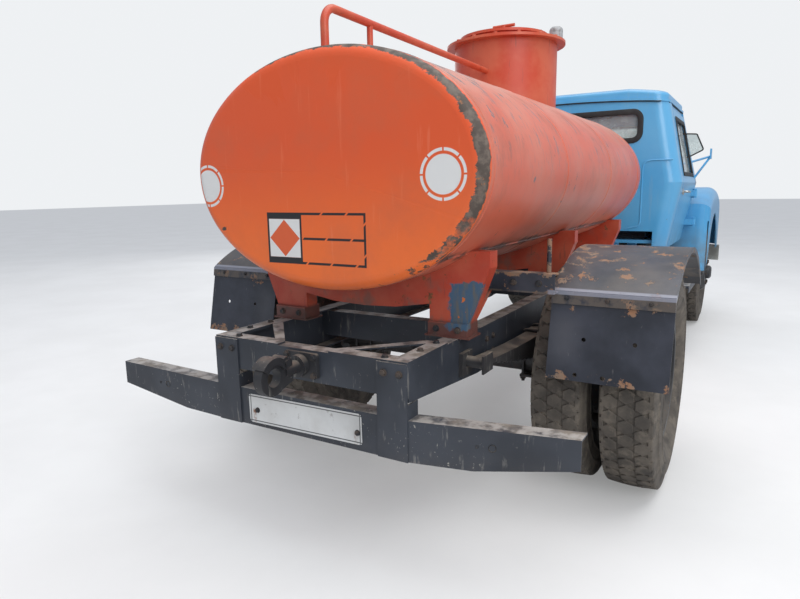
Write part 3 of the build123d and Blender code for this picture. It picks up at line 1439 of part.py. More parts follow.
with BuildPart() as front_fenders:
    for side in (1, -1):
        fender_block(side, 0)
    for side in (1, -1):
        fender_block(side, fender_wall, mode=Mode.SUBTRACT)
        with Locations((side * frame_half_width, (fender_rear_y + fender_front_y) / 2, apron_low - 500)):
            Box(
                2 * (fender_outer_x - frame_half_width - fender_wall),
                fender_rear_y - fender_front_y - 72,
                1000,
                mode=Mode.SUBTRACT,
            )
        with BuildSketch(side_plane(side * 300)) as arch:
            with Locations((front_axle_y, wheel_z)):
                Circle(fender_arch_radius)
        extrude(arch.sketch, amount=side * fender_outer_x, mode=Mode.SUBTRACT)
        with BuildSketch(Plane.XZ.offset(-lamp_face_y)) as bucket:
            with Locations((side * lamp_x, lamp_z)):
                Circle(lamp_radius + lamp_bucket_wall)
        extrude(bucket.sketch, amount=-lamp_bucket_depth)
        with BuildSketch(Plane.XZ.offset(-lamp_face_y)) as socket:
            with Locations((side * lamp_x, lamp_z)):
                Circle(lens_radius)
        extrude(socket.sketch, amount=-lamp_bucket_depth - 1, mode=Mode.SUBTRACT)
    cab_skin(-seat_gap, mode=Mode.SUBTRACT)
finish(front_fenders, "front_fenders")

# Headlamps: a round rim with a domed lens, seated in the fender's front face.
with BuildPart() as headlamps:
    lens_bend = (lens_radius ** 2 + lens_bulge ** 2) / (2 * lens_bulge)
    lens_mid = lens_bend - sqrt(lens_bend ** 2 - lens_radius ** 2 / 4) - lens_bulge - lamp_rim_depth
    for side in (1, -1):
        lamp_plane = Plane(origin=(side * lamp_x, lamp_face_y - seat_gap, lamp_z), x_dir=(1, 0, 0), z_dir=(0, 0, 1))
        with BuildSketch(lamp_plane) as half:
            with BuildLine():
                Polyline(
                    (0, -lamp_rim_depth - lens_bulge), (0, 60), (lens_radius - 2, 60), (lens_radius - 2, 0),
                    (lamp_radius + 8, 0), (lamp_radius + 4, -lamp_rim_depth), (lens_radius, -lamp_rim_depth),
                )
                ThreePointArc(
                    (lens_radius, -lamp_rim_depth),
                    (lens_radius / 2, lens_mid),
                    (0, -lamp_rim_depth - lens_bulge),
                )
            make_face()
        revolve(half.sketch, axis=Axis((side * lamp_x, 0, lamp_z), (0, 1, 0)))
finish(headlamps, "headlamps")

# Grille: a pressed surround with horizontal bars between the fenders, with the radiator behind it.
grille_half = fender_inner_front_x - 4
grille_height = grille_high - grille_low
grille_z = (grille_low + grille_high) / 2
with BuildPart() as radiator_grille:
    with BuildSketch(Plane.XZ.offset(-fender_front_y - 20)):
        with Locations((0, grille_z)):
            Rectangle(2 * grille_half, grille_height)
            RectangleRounded(2 * grille_half - 90, grille_height - 76, 60, mode=Mode.SUBTRACT)
    extrude(amount=-28)
    with BuildSketch(Plane.XZ.offset(-fender_front_y - 24)):
        with Locations((0, grille_z)):
            with GridLocations(0, grille_bar_pitch, 1, grille_bar_count):
                Rectangle(2 * grille_half - 84, 16)
        for bar_x in (-190, 190):
            with Locations((bar_x, grille_z)):
                Rectangle(14, grille_height - 70)
    extrude(amount=-18)
    with Locations((0, fender_front_y + 105, (frame_top + seat_gap + grille_high) / 2)):
        Box(640, radiator_depth, grille_high - frame_top - seat_gap)
    for side in (1, -1):
        with Locations((side * 340, fender_front_y + 85, grille_z)):
            Box(60, 120, 60)
        with Locations((side * 370, fender_front_y + 100, (frame_top + grille_low + 60) / 2)):
            Box(120, 70, grille_low + 60 - frame_top)
finish(radiator_grille, "radiator_grille")

# Running boards below the doors, on arms from the rails.
board_front_y = fender_rear_y + 4
board_rear_y = cab_rear_y - 90
board_x = fender_outer_x - 40 - step_width / 2
arm_length = board_x - 90 - frame_half_width
with BuildPart() as running_boards:
    for side in (1, -1):
        with Locations((side * board_x, (board_front_y + board_rear_y) / 2, step_top - step_thickness / 2)):
            Box(step_width, board_rear_y - board_front_y, step_thickness)
        edge_x = side * (board_x + step_width / 2 - 3)
        with Locations((edge_x, (board_front_y + board_rear_y) / 2, step_top - step_edge / 2)):
            Box(6, board_rear_y - board_front_y, step_edge)
        for arm_y in (door_front_y + 100, door_rear_y - 80):
            with Locations((side * (frame_half_width + arm_length / 2), arm_y, step_top + 16)):
                Box(arm_length, 50, 34)
finish(running_boards, "running_boards")

# Fuel tank on the left rail, held by two straps.
fuel_tank_x = frame_half_width + 190
fuel_tank_z = frame_top - 188
fuel_tank_front_y = cab_rear_y + 50
strap_arm_length = fuel_tank_x - fuel_tank_width / 2 + 10 - frame_half_width
with BuildPart() as fuel_tank:
    with BuildSketch(Plane.XZ.offset(-fuel_tank_front_y)):
        with Locations((fuel_tank_x, fuel_tank_z)):
            RectangleRounded(fuel_tank_width, fuel_tank_height, 60)
    extrude(amount=-fuel_tank_length)
    for strap_y in (fuel_tank_front_y + 160, fuel_tank_front_y + fuel_tank_length - 160):
        with BuildSketch(Plane.XZ.offset(-strap_y)):
            with Locations((fuel_tank_x, fuel_tank_z)):
                RectangleRounded(fuel_tank_width + 2 * fuel_strap, fuel_tank_height + 2 * fuel_strap, 66)
        extrude(amount=40)
        with Locations((frame_half_width + strap_arm_length / 2, strap_y - 20, frame_top - 98)):
            Box(strap_arm_length, 40, 150)
    with Locations((fuel_tank_x + 120, fuel_tank_front_y + fuel_tank_length - 150, fuel_tank_z + 130)):
        Cylinder(34, 60)
finish(fuel_tank, "fuel_tank")

# Mirror brackets: a forked tube on each front pillar with a small plate, its glass gone.
mirror_head = (belt_row[1] + 102, door_front_y - 70, belt_z + 236)
mirror_foot_y = door_front_y - 40
with BuildPart() as mirror_brackets:
    for side in (1, -1):
        for foot_z in (belt_z + 22, belt_z + 170):
            start = Vector(side * (cab_half_width(foot_z) - 18), mirror_foot_y, foot_z)
            tip = Vector(side * mirror_head[0], mirror_head[1], mirror_head[2] - 20)
            with BuildSketch(Plane(origin=start, z_dir=tip - start)) as tube:
                Circle(9)
            extrude(tube.sketch, amount=(tip - start).length)
        with Locations((side * mirror_head[0], mirror_head[1], mirror_head[2])):
            Box(12, 64, 84)
    cab_skin(0, mode=Mode.SUBTRACT)
finish(mirror_brackets, "mirror_brackets")

# Bench seat, dashboard and steering wheel, seen through the glass.
seat_half_width = 640
floor_top = cab_floor_z + floor_thickness / 2
with BuildPart() as seat:
    with Locations((0, cab_rear_y - 380, floor_top + 75)):
        Box(2 * seat_half_width - 40, 420, 150)
    with BuildSketch(side_plane(-seat_half_width)):
        with Locations((cab_rear_y - 370, floor_top + 215)):
            RectangleRounded(480, 130, 50)
    extrude(amount=2 * seat_half_width)
    with BuildSketch(side_plane(-seat_half_width)):
        with Locations((cab_rear_y - 125, floor_top + 400)):
            RectangleRounded(120, 480, 50)
    extrude(amount=2 * seat_half_width)
finish(seat, "seat")

dashboard_half_width = belt_row[1] - 135
steering_wheel_x = 400
steering_wheel_radius = 200
# Outline of the dashboard: distance behind the door's front edge, height over the belt
dashboard_outline = ((-167, -100), (-40, -100), (0, -40), (-20, 40), (-100, 62), (-171, 55), (-199, 0))
with BuildPart() as dashboard:
    with BuildSketch(side_plane(-dashboard_half_width)):
        polygon([(door_front_y + y, belt_z + z) for y, z in dashboard_outline])
    extrude(amount=2 * dashboard_half_width)
    wheel_centre = Vector(steering_wheel_x, door_front_y + 250, belt_z + 20)
    column_foot = Vector(steering_wheel_x, door_front_y - 80, belt_z - 250)
    column_length = (wheel_centre - column_foot).length
    column_plane = Plane(origin=wheel_centre, z_dir=wheel_centre - column_foot)
    with BuildSketch(column_plane.offset(-column_length)) as column:
        Circle(20)
    extrude(column.sketch, amount=column_length + 12)
    with BuildSketch(column_plane.offset(-8)) as spokes:
        Rectangle(2 * steering_wheel_radius - 20, 26)
        with Locations((0, -steering_wheel_radius / 2 + 5)):
            Rectangle(26, steering_wheel_radius - 10)
        Circle(42)
    extrude(spokes.sketch, amount=16)
    with Locations(column_plane):
        Torus(steering_wheel_radius, 13)
    with Locations((steering_wheel_x, door_front_y - 70, belt_z - 170)):
        Box(40, 30, 200)
finish(dashboard, "dashboard")
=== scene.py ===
# %% [markdown]
# # A small tanker truck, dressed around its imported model
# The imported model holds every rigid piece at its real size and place. This lesson adds what a
# solid cannot say: worn paint, rust and dust, tread, bolts, rubber seals, cushions and painted
# marks. Each cell explains what it is on the real truck before it makes it.

# %% Load the frame
import random
from math import cos, pi, radians, sin, sqrt

import bmesh
import bpy
from mathutils import Matrix, Vector


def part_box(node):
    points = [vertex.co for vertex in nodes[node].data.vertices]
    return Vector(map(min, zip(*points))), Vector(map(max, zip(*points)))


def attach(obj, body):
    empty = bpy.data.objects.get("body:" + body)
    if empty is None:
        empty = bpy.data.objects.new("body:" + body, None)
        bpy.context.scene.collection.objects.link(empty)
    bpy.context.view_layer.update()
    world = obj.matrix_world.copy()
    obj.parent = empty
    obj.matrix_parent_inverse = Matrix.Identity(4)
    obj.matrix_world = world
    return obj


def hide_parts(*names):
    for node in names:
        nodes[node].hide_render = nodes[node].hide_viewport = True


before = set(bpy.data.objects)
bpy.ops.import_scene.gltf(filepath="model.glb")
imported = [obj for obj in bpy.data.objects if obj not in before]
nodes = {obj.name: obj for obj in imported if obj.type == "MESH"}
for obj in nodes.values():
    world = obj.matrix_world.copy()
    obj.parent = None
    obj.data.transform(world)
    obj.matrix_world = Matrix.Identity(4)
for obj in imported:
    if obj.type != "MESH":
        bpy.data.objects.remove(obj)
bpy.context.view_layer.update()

bpy.ops.object.select_all(action="DESELECT")
dice = random.Random(7)
millimetre = 0.001
print("CAD nodes:", len(nodes))

# %% [markdown]
# ## Camera, light and floor
# The picture was taken from behind the truck's right corner with a phone's wide lens. The yaw is
# measured from the truck's forward direction, -Y. The studio is a pale floor under a pale sky,
# with one broad lamp above and a weaker one behind the camera, so that paint shows its own colour.

# %% Camera
camera_place = Vector((-1.3637, 4.3809, 1.3072))
camera_yaw = 0.536
camera_pitch = -0.179
camera_roll = -0.016
focal_length_px = 605.26
picture_width_px = 800
sensor_width = 36

look = Vector((
    sin(camera_yaw) * cos(camera_pitch),
    -cos(camera_yaw) * cos(camera_pitch),
    sin(camera_pitch),
))
level_right = look.cross(Vector((0, 0, 1))).normalized()
level_up = level_right.cross(look)
camera_right = level_right * cos(camera_roll) + level_up * sin(camera_roll)
camera_up = level_up * cos(camera_roll) - level_right * sin(camera_roll)
turn = Matrix((camera_right, camera_up, -look)).transposed()
bpy.ops.object.camera_add()
camera = bpy.context.object
camera.matrix_world = Matrix.Translation(camera_place) @ turn.to_4x4()
camera.data.sensor_width = sensor_width
camera.data.lens = focal_length_px * sensor_width / picture_width_px
camera.data.clip_end = 200
scene = bpy.context.scene
scene.camera = camera
scene.view_settings.view_transform = "Standard"
print("lens", round(camera.data.lens, 2))


# %% Lamps
def lamp(place, aim, size, watts):
    """A square area lamp at a place, turned towards a point."""
    bpy.ops.object.light_add(type="AREA", location=place)
    light = bpy.context.object
    light.data.size = size
    light.data.energy = watts
    light.rotation_euler = (Vector(aim) - Vector(place)).to_track_quat("-Z", "Y").to_euler()
    print("lamp", size, "m wide,", watts, "W")


truck_middle = (0, 0.6, 1.0)
lamp((-1.5, 1.5, 7.5), truck_middle, 7, 420)
lamp((-6.5, 6.5, 4.5), truck_middle, 5, 260)
lamp((6.0, -6.0, 5.0), truck_middle, 5, 160)

# %% [markdown]
# ## A small language for finishes
# Every finish is a node tree. Wiring it by hand hides the idea, so `Signal` wraps one socket and
# lets Python arithmetic add the Math nodes, and `Finish.node` adds any other node from its type,
# its settings and its inputs. The masks of the finishes then read like sentences.


# %% Signals
class Signal:
    """One output socket of a finish. Arithmetic on it adds Math nodes."""

    def __init__(self, finish, socket):
        self.finish = finish
        self.socket = socket

    def math(self, operation, *others):
        values = dict(enumerate((self,) + others))
        return self.finish.node("Math", {"operation": operation}, values)

    def __add__(self, other):
        return self.math("ADD", other)

    def __sub__(self, other):
        return self.math("SUBTRACT", other)

    def __rsub__(self, other):
        return self.finish.node("Math", {"operation": "SUBTRACT"}, {0: other, 1: self})

    def __mul__(self, other):
        return self.math("MULTIPLY", other)

    def __truediv__(self, other):
        return self.math("DIVIDE", other)

    def __abs__(self):
        return self.math("ABSOLUTE")

    def __or__(self, other):
        return self.math("MAXIMUM", other)

    def __and__(self, other):
        return self.math("MINIMUM", other)

    __radd__ = __add__
    __rmul__ = __mul__

    def step(self, low, high):
        """0 below low, 1 above high, and a smooth rise between; high below low turns it round."""
        flipped = high < low
        ends = {"From Min": min(low, high), "From Max": max(low, high)}
        ends.update({"To Min": 1.0 if flipped else 0.0, "To Max": 0.0 if flipped else 1.0})
        smooth = {"interpolation_type": "SMOOTHSTEP"}
        return self.finish.node("MapRange", smooth, {"Value": self, **ends})

    def inside(self, low, high, edge=1.5 * millimetre):
        """1 between low and high, with a crisp painted edge."""
        return self.step(low - edge, low + edge) & self.step(high + edge, high - edge)


# %% [markdown]
# ## Finishes
# A finish starts from the object's own coordinates and from the way its surface faces. Noise of a
# known size in metres, smooth steps and blends are all it takes to lay paint, dust and rust.


# %% Finishes
class Finish:
    """A material with its node tree, and the patterns that all finishes share."""

    def __init__(self, name):
        self.material = bpy.data.materials.new(name)
        self.material.use_nodes = True
        self.tree = self.material.node_tree
        self.tree.nodes.clear()
        self.place = self.node("TexCoord", output="Object")
        self.x, self.y, self.z = self.split(self.place)
        _, self.along, self.upward = self.split(self.node("TexCoord", output="Normal"))

    def node(self, kind, settings=None, values=None, output=0):
        """Any node: its settings first, then the values or signals of its sockets."""
        made = self.tree.nodes.new("ShaderNode" + kind)
        for name, value in (settings or {}).items():
            setattr(made, name, value)
        for key, value in (values or {}).items():
            if isinstance(value, Signal):
                self.tree.links.new(value.socket, made.inputs[key])
            else:
                made.inputs[key].default_value = value
        return Signal(self, made.outputs[output])

    def split(self, vector):
        made = self.node("SeparateXYZ", values={"Vector": vector})
        return [Signal(self, socket) for socket in made.socket.node.outputs]

    def noise(self, size, stretch=(1, 1, 1), detail=4, roughness=0.6, vector=None, shift=0.0):
        """Cloudy noise whose blobs are about this many metres across."""
        scaled = self.node("VectorMath", {"operation": "MULTIPLY_ADD"}, {
            0: vector or self.place,
            1: tuple(1 / (size * share) for share in stretch),
            2: (shift, shift * 1.7, shift * 2.3),
        })
        return self.node("TexNoise", values={
            "Vector": scaled, "Scale": 1.0, "Detail": detail, "Roughness": roughness,
        })

    def cells(self, size):
        """Distance inside cells that are about this many metres across."""
        scaled = self.node(
            "VectorMath", {"operation": "MULTIPLY"}, {0: self.place, 1: (1 / size,) * 3})
        return self.node("TexVoronoi", values={"Vector": scaled, "Scale": 1.0})

    def blend(self, mask, below, above):
        """Colour above where the mask is 1, colour below where it is 0."""
        values = {0: mask}
        for key, colour in ((6, below), (7, above)):
            values[key] = colour if isinstance(colour, Signal) else (*colour, 1)
        return self.node("Mix", {"data_type": "RGBA"}, values, output=2)

    def relief(self, height, depth):
        """A bump of this many metres."""
        return self.node("Bump", values={"Height": height, "Distance": depth, "Strength": 1.0})

    def surface(self, colour, roughness, metallic=0.0, normal=None, **fixed):
        """Closes the tree with one Principled shader; fixed sockets take plain numbers."""
        values = {"Base Color": colour, "Roughness": roughness, "Metallic": metallic}
        if not isinstance(colour, Signal):
            values["Base Color"] = (*colour, 1)
        if normal:
            values["Normal"] = normal
        values.update(fixed)
        self.close(self.node("BsdfPrincipled", values=values))
        return self.material

    def close(self, shader):
        """Lead a shader to the material's output."""
        made = self.tree.nodes.new("ShaderNodeOutputMaterial")
        self.tree.links.new(shader.socket, made.inputs["Surface"])


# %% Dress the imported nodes
def dress(finish_material, *names):
    """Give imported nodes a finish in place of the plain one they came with."""
    for name in names:
        slots = nodes[name].material_slots
        for slot in slots:
            slot.material = finish_material
        if not slots:
            nodes[name].data.materials.append(finish_material)
    print(finish_material.name, "dresses", ", ".join(names))


# %% [markdown]
# ## Floor and sky
# Both look pale to the camera and through glass, but light the truck less than they seem to, so
# the paint keeps its contrast. The light path tells those rays from the others.

# %% Sky
sky = bpy.data.worlds.new("studio_sky")
scene.world = sky
sky.use_nodes = True
sky_tree = sky.node_tree
sky_tree.nodes.clear()
rays = sky_tree.nodes.new("ShaderNodeLightPath")
seen = sky_tree.nodes.new("ShaderNodeMath")
seen.operation = "MAXIMUM"
sky_tree.links.new(rays.outputs["Is Camera Ray"], seen.inputs[0])
sky_tree.links.new(rays.outputs["Is Transmission Ray"], seen.inputs[1])
either = sky_tree.nodes.new("ShaderNodeMixShader")
sky_tree.links.new(seen.outputs[0], either.inputs[0])
lighting_sky, seen_sky = ((0.80, 0.87, 1.0, 1), 0.62), ((0.86, 0.88, 0.90, 1), 1.0)
for entry, (colour, strength) in enumerate((lighting_sky, seen_sky), 1):
    background = sky_tree.nodes.new("ShaderNodeBackground")
    background.inputs["Color"].default_value = colour
    background.inputs["Strength"].default_value = strength
    sky_tree.links.new(background.outputs[0], either.inputs[entry])
sky_out = sky_tree.nodes.new("ShaderNodeOutputWorld")
sky_tree.links.new(either.outputs[0], sky_out.inputs["Surface"])
print("sky lights with", lighting_sky[1], "and shows", seen_sky[1])

# %% Floor
bpy.ops.mesh.primitive_plane_add(size=120)
floor = bpy.context.object
floor.name = "studio_floor"
floor_finish = Finish("floor_finish")
floor_cloud = floor_finish.noise(0.9, detail=6)
floor_colour = floor_finish.blend(
    floor_cloud.step(0.3, 0.7), (0.60, 0.59, 0.575), (0.64, 0.63, 0.615))
floor_matt = floor_finish.node("BsdfDiffuse", values={"Color": floor_colour})
floor_glow = floor_finish.node(
    "Emission", values={"Color": (0.86, 0.86, 0.85, 1), "Strength": 0.27})
floor_lifted = floor_finish.node("AddShader", values={0: floor_matt, 1: floor_glow})
seen_rays = [
    floor_finish.node("LightPath", output=f"Is {kind} Ray") for kind in ("Camera", "Transmission")]
floor_finish.close(floor_finish.node("MixShader", values={
    0: seen_rays[0] | seen_rays[1], 1: floor_matt, 2: floor_lifted}))
floor.data.materials.append(floor_finish.material)
print("floor", round(floor.dimensions.x), "m wide")

# %% [markdown]
# ## Paint on the chassis
# Frame, bumper, axles and brackets share one blue-black enamel. Years outdoors left brown dust on
# everything that faces up, pale chips and rust that bleeds out of small pits. A pale layer on the
# top faces is partly dust and chips and partly painted highlight.
# All of it follows the surface's own direction and height, so it needs no image.

# %% Shared layers of wear
dust_colour = (0.27, 0.225, 0.175)
mud_colour = (0.15, 0.125, 0.1)
rust_dark = (0.115, 0.048, 0.022)
rust_bright = (0.33, 0.135, 0.055)
primer_pale = (0.36, 0.34, 0.30)


def rust_tone(finish):
    """Rust that drifts from dark brown to bright orange brown."""
    return finish.blend(finish.noise(0.03, detail=6).step(0.35, 0.65), rust_dark, rust_bright)


def dusted(finish, colour, amount, size=0.10):
    """Lay dust over a colour where the surface faces up; returns the colour and the dust mask."""
    cloud = finish.noise(size, detail=5, shift=3.1)
    mask = finish.upward.step(0.25, 0.95) * cloud.step(0.25, 0.75) * amount
    return finish.blend(mask, colour, dust_colour), mask


def pitted(finish, colour, share, size=0.05):
    """Scatter ragged rust patches over about this share of a colour."""
    patch = finish.noise(size, detail=8, roughness=0.7, shift=8.4)
    mask = patch.step(0.73 - share, 0.76 - share)
    return finish.blend(mask, colour, rust_tone(finish)), mask


# %% Chassis paint
def chassis_finish(name, base, dust, rust, chips, pale_top_dust_and_highlight=0.0):
    """Old enamel over steel: chips, rust pits and dust, in that order, then a pale top that is
    partly dust and partly painted highlight.
    """
    finish = Finish(name)
    tone = finish.noise(0.35, detail=3).step(0.3, 0.7)
    colour = finish.blend(tone, base, tuple(min(1, c * 1.7 + 0.01) for c in base))
    scuff = finish.noise(0.02, stretch=(1, 1, 6), detail=6).step(0.60, 0.70) * 0.35
    colour = finish.blend(scuff, colour, primer_pale)
    chip = finish.noise(0.012, detail=6, shift=5.2).step(0.72 - chips, 0.735 - chips)
    chip = chip * finish.noise(0.16, detail=2, shift=1.3).step(0.45, 0.6)
    colour = finish.blend(chip, colour, primer_pale)
    colour, rusty = pitted(finish, colour, rust)
    colour, dusty = dusted(finish, colour, dust)
    # Pale on the faces that look up: partly dust and pale chips, partly a painted highlight.
    top_dust_and_highlight_cloud = finish.noise(0.06, detail=6, shift=6.6).step(0.40, 0.58)
    bright = finish.upward.step(0.5, 0.95) * top_dust_and_highlight_cloud * pale_top_dust_and_highlight
    colour = finish.blend(bright, colour, (0.40, 0.37, 0.335))
    low_mud = finish.z.step(0.55, 0.15) * finish.noise(0.08, detail=6).step(0.35, 0.65) * 0.6
    colour = finish.blend(low_mud, colour, mud_colour)
    rough = 0.42 + (rusty | dusty | low_mud) * 0.45
    height = finish.noise(0.05, detail=4) * 0.6 - chip * 0.25 + rusty * 0.3
    return finish.surface(colour, rough, normal=finish.relief(height, 0.8 * millimetre))


chassis_black = (0.022, 0.026, 0.034)
chassis_paint = chassis_finish(
    "chassis_paint", chassis_black, dust=0.9, rust=0.04, chips=0.03, pale_top_dust_and_highlight=0.75)
bumper_paint = chassis_finish(
    "bumper_paint", chassis_black, dust=0.85, rust=0.012, chips=0.07, pale_top_dust_and_highlight=0.85)
hook_steel = chassis_finish("hook_steel", (0.018, 0.018, 0.02), dust=0.55, rust=0.07, chips=0.03)
axle_paint = chassis_finish("axle_paint", (0.03, 0.029, 0.03), dust=1.0, rust=0.08, chips=0.02)
engine_iron = chassis_finish("engine_iron", (0.05, 0.052, 0.05), dust=0.6, rust=0.08, chips=0.0)
wheel_paint = chassis_finish("wheel_paint", (0.035, 0.037, 0.04), dust=0.5, rust=0.10, chips=0.03)
dress(chassis_paint, "frame_rail_left", "frame_rail_right", "frame_crossmembers",
      "running_boards", "fuel_tank")
dress(bumper_paint, "rear_bumper")
dress(hook_steel, "tow_hook")
dress(axle_paint, "front_axle", "rear_axle", "leaf_springs", "drive_shaft", "exhaust", "tie_rod",
      "knuckle_left", "knuckle_right")
dress(engine_iron, "engine_block")
dress(wheel_paint, "wheel_front_left", "wheel_front_right", "wheels_rear_left", "wheels_rear_right")

# %% [markdown]
# ## Paint on the tank
# The end was repainted a vivid orange; the barrel has faded to salmon, with grey runs that follow
# its curve down from the top and bare patches near the rear. On the rolled edge of the end the
# paint has gone altogether and left a dark worn band. Two white discs and a stencilled danger
# panel are painted on the end, so they belong in the paint, not in separate pieces. All are left
# blank.

# %% Places and colours of the tank
tank_low, tank_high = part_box("tank_shell")
tank_centre = (tank_low + tank_high) / 2
tank_half = (tank_high - tank_low) / 2
tank_end_y = tank_high.y
knuckle_reach = 0.045
seam_height = -0.695

end_orange = (0.76, 0.098, 0.022)
end_orange_low = (0.90, 0.172, 0.03)
barrel_salmon = (0.62, 0.122, 0.062)
barrel_faded = (0.60, 0.185, 0.115)
barrel_pale = (0.50, 0.33, 0.27)
bare_grey = (0.15, 0.165, 0.17)
worn_brown = (0.075, 0.056, 0.045)
sign_white = (0.76, 0.75, 0.72)
stencil_black = (0.018, 0.017, 0.018)

disc_places = ((0.564, 1.334), (-0.490, 1.354))
disc_radius = 0.063
ring_inner, ring_outer = 0.073, 0.083
ring_dashes = 8
panel_left, panel_right = 0.260, -0.192
panel_top, panel_low = 1.231, 1.040
panel_split = 0.093
panel_line = 0.009
panel_bar = 0.024
nick_place = (0.488, 1.164)
print("tank end at y =", round(tank_end_y, 3))


# %% Marks on the tank's end
def painted_disc(finish, centre_x, centre_z):
    """A white disc inside a ring of dashes."""
    dx, dz = finish.x - centre_x, finish.z - centre_z
    distance = (dx * dx + dz * dz).math("SQRT")
    dash = (dz.math("ARCTAN2", dx) * (ring_dashes / (2 * pi))).math("FRACT")
    ring = distance.inside(ring_inner, ring_outer) & dash.inside(0.05, 0.95, 0.01)
    return distance.inside(-1, disc_radius) | ring


def painted_panel(finish):
    """Masks of the stencilled panel: its black lines, its white field and the diamond in it."""
    x, z = finish.x, finish.z
    across = x.inside(panel_right, panel_left)
    upright = z.inside(panel_low, panel_top)
    field_x = x.inside(panel_split, panel_left)
    outer = across & upright
    hollow = x.inside(panel_right + panel_line, panel_split) & z.inside(
        panel_low + panel_line, panel_top - panel_line)
    field = x.inside(panel_split + panel_line, panel_left - panel_line) & z.inside(
        panel_low + panel_bar, panel_top - panel_bar)
    middle = (panel_top + panel_low) / 2
    rule = x.inside(panel_right, panel_split) & z.inside(
        middle - panel_line / 2, middle + panel_line / 2)
    bridge = ((x + z) * 9.0).math("FRACT").inside(0.08, 1.1, 0.01)
    lines = ((outer - hollow - field).step(0.3, 0.7) | rule) & (bridge | field_x)
    half_x, half_z = (panel_left - panel_split) / 2, (panel_top - panel_low) / 2
    diamond_x = abs(x - (panel_split + panel_left) / 2) / (half_x - panel_line)
    diamond_z = abs(z - middle) / (half_z - panel_bar)
    diamond = (diamond_x + diamond_z).inside(-1, 0.97, 0.01)
    return lines, field, diamond


# %% [markdown]
# ## Barrel, end and knuckle
# Height on the tank runs from -1 at its foot to 1 at its top, and the angle round it lets the
# runs follow its curve. The three colours are made apart and laid over each other at the end.


# %% Barrel
def barrel_colour(finish, high, angle):
    """Salmon with runs, bare patches, seam dirt and rust, and the masks of what is bare or pale."""
    y = finish.y
    cloud = finish.noise(0.5, detail=4)
    barrel = finish.blend(cloud.step(0.35, 0.65), barrel_salmon, barrel_faded)
    pale = high.step(0.35, 1.0) * finish.noise(0.25, detail=5, shift=2.0).step(0.25, 0.6)
    barrel = finish.blend(pale * 0.85, barrel, barrel_pale)
    around = finish.node("CombineXYZ", values={"X": y, "Y": angle * 0.09, "Z": 0.0})
    runs = finish.noise(0.016, vector=around, detail=5, roughness=0.7)
    run_share = high.step(-0.75, 0.55) * finish.noise(0.35, detail=3, shift=4.0).step(0.30, 0.55)
    run_mask = runs.step(0.55, 0.64) * run_share * 0.55
    long_run = finish.noise(0.045, vector=around, detail=6, roughness=0.75, shift=2.6)
    run_mask = run_mask | long_run.step(0.575, 0.62) * high.step(-0.2, 0.5)
    blotch = finish.noise(0.30, detail=6, roughness=0.65, shift=12.4).step(0.47, 0.66)
    barrel = finish.blend(blotch * 0.55, barrel, (0.42, 0.105, 0.055))
    along_curve = finish.node("CombineXYZ", values={"X": y, "Y": angle * 0.22, "Z": 0.0})
    bare = finish.noise(0.075, vector=along_curve, detail=7, roughness=0.68, shift=6.6)
    rear_top = y.step(tank_end_y - 0.95, tank_end_y - 0.1) * high.step(0.45, 0.85)
    bare_mask = (bare + rear_top * 0.165).step(0.655, 0.675)
    run_colour = finish.blend(blotch, bare_grey, (0.13, 0.06, 0.04))
    barrel = finish.blend(run_mask * 0.85, barrel, run_colour)
    barrel = finish.blend(bare_mask, barrel, bare_grey)
    seam_off = abs(high - seam_height + (finish.noise(0.09, detail=6, shift=5.1) - 0.5) * 0.16)
    seam_dirt = seam_off.step(0.06, 0.015) * finish.noise(0.16, detail=5, shift=7.7).step(0.36, 0.5)
    low_dirt = high.step(-0.78, -1.0) * finish.noise(0.12, detail=6, shift=7.7).step(0.3, 0.6)
    barrel = finish.blend(low_dirt * 0.6 | seam_dirt * 0.9, barrel, worn_brown)
    spots = finish.noise(0.03, detail=7, shift=3.8).step(0.70, 0.72)
    return finish.blend(spots, barrel, rust_tone(finish)), bare_mask, pale


# %% End
def end_colour(finish, high):
    """Vivid orange with faint runs, a few chips, and the painted marks."""
    x, y, z = finish.x, finish.y, finish.z
    end_tone = high.step(0.3, -0.9)
    end = finish.blend(end_tone, end_orange, end_orange_low)
    weather = finish.noise(0.30, detail=5, shift=3.3).step(0.45, 0.75) * 0.4
    end = finish.blend(weather, end, (0.56, 0.13, 0.055))
    fine_run = finish.noise(0.02, stretch=(1, 1, 14), detail=3).step(0.62, 0.75) * 0.25
    end = finish.blend(fine_run, end, (0.88, 0.26, 0.13))
    chips = finish.noise(0.02, detail=6, shift=9.1).step(0.735, 0.75)
    nick_x, nick_z = x - nick_place[0], z - nick_place[1]
    nick_off = (nick_x * nick_x + nick_z * nick_z * 3.0).math("SQRT")
    nick = (nick_off + (finish.noise(0.02, detail=6) - 0.5) * 0.05).step(0.016, 0.012)
    chips = chips | nick
    end = finish.blend(chips, end, worn_brown)
    lines, field, diamond = painted_panel(finish)
    wear = finish.noise(0.02, detail=6, shift=4.9).step(0.74, 0.70)
    on_end = y.step(tank_end_y - 0.004, tank_end_y - 0.002)
    white = painted_disc(finish, *disc_places[0]) | painted_disc(finish, *disc_places[1]) | field
    end = finish.blend(white & wear & on_end, end, sign_white)
    end = finish.blend(lines & wear & on_end, end, stencil_black)
    return finish.blend(diamond & field & on_end, end, (0.72, 0.12, 0.035))


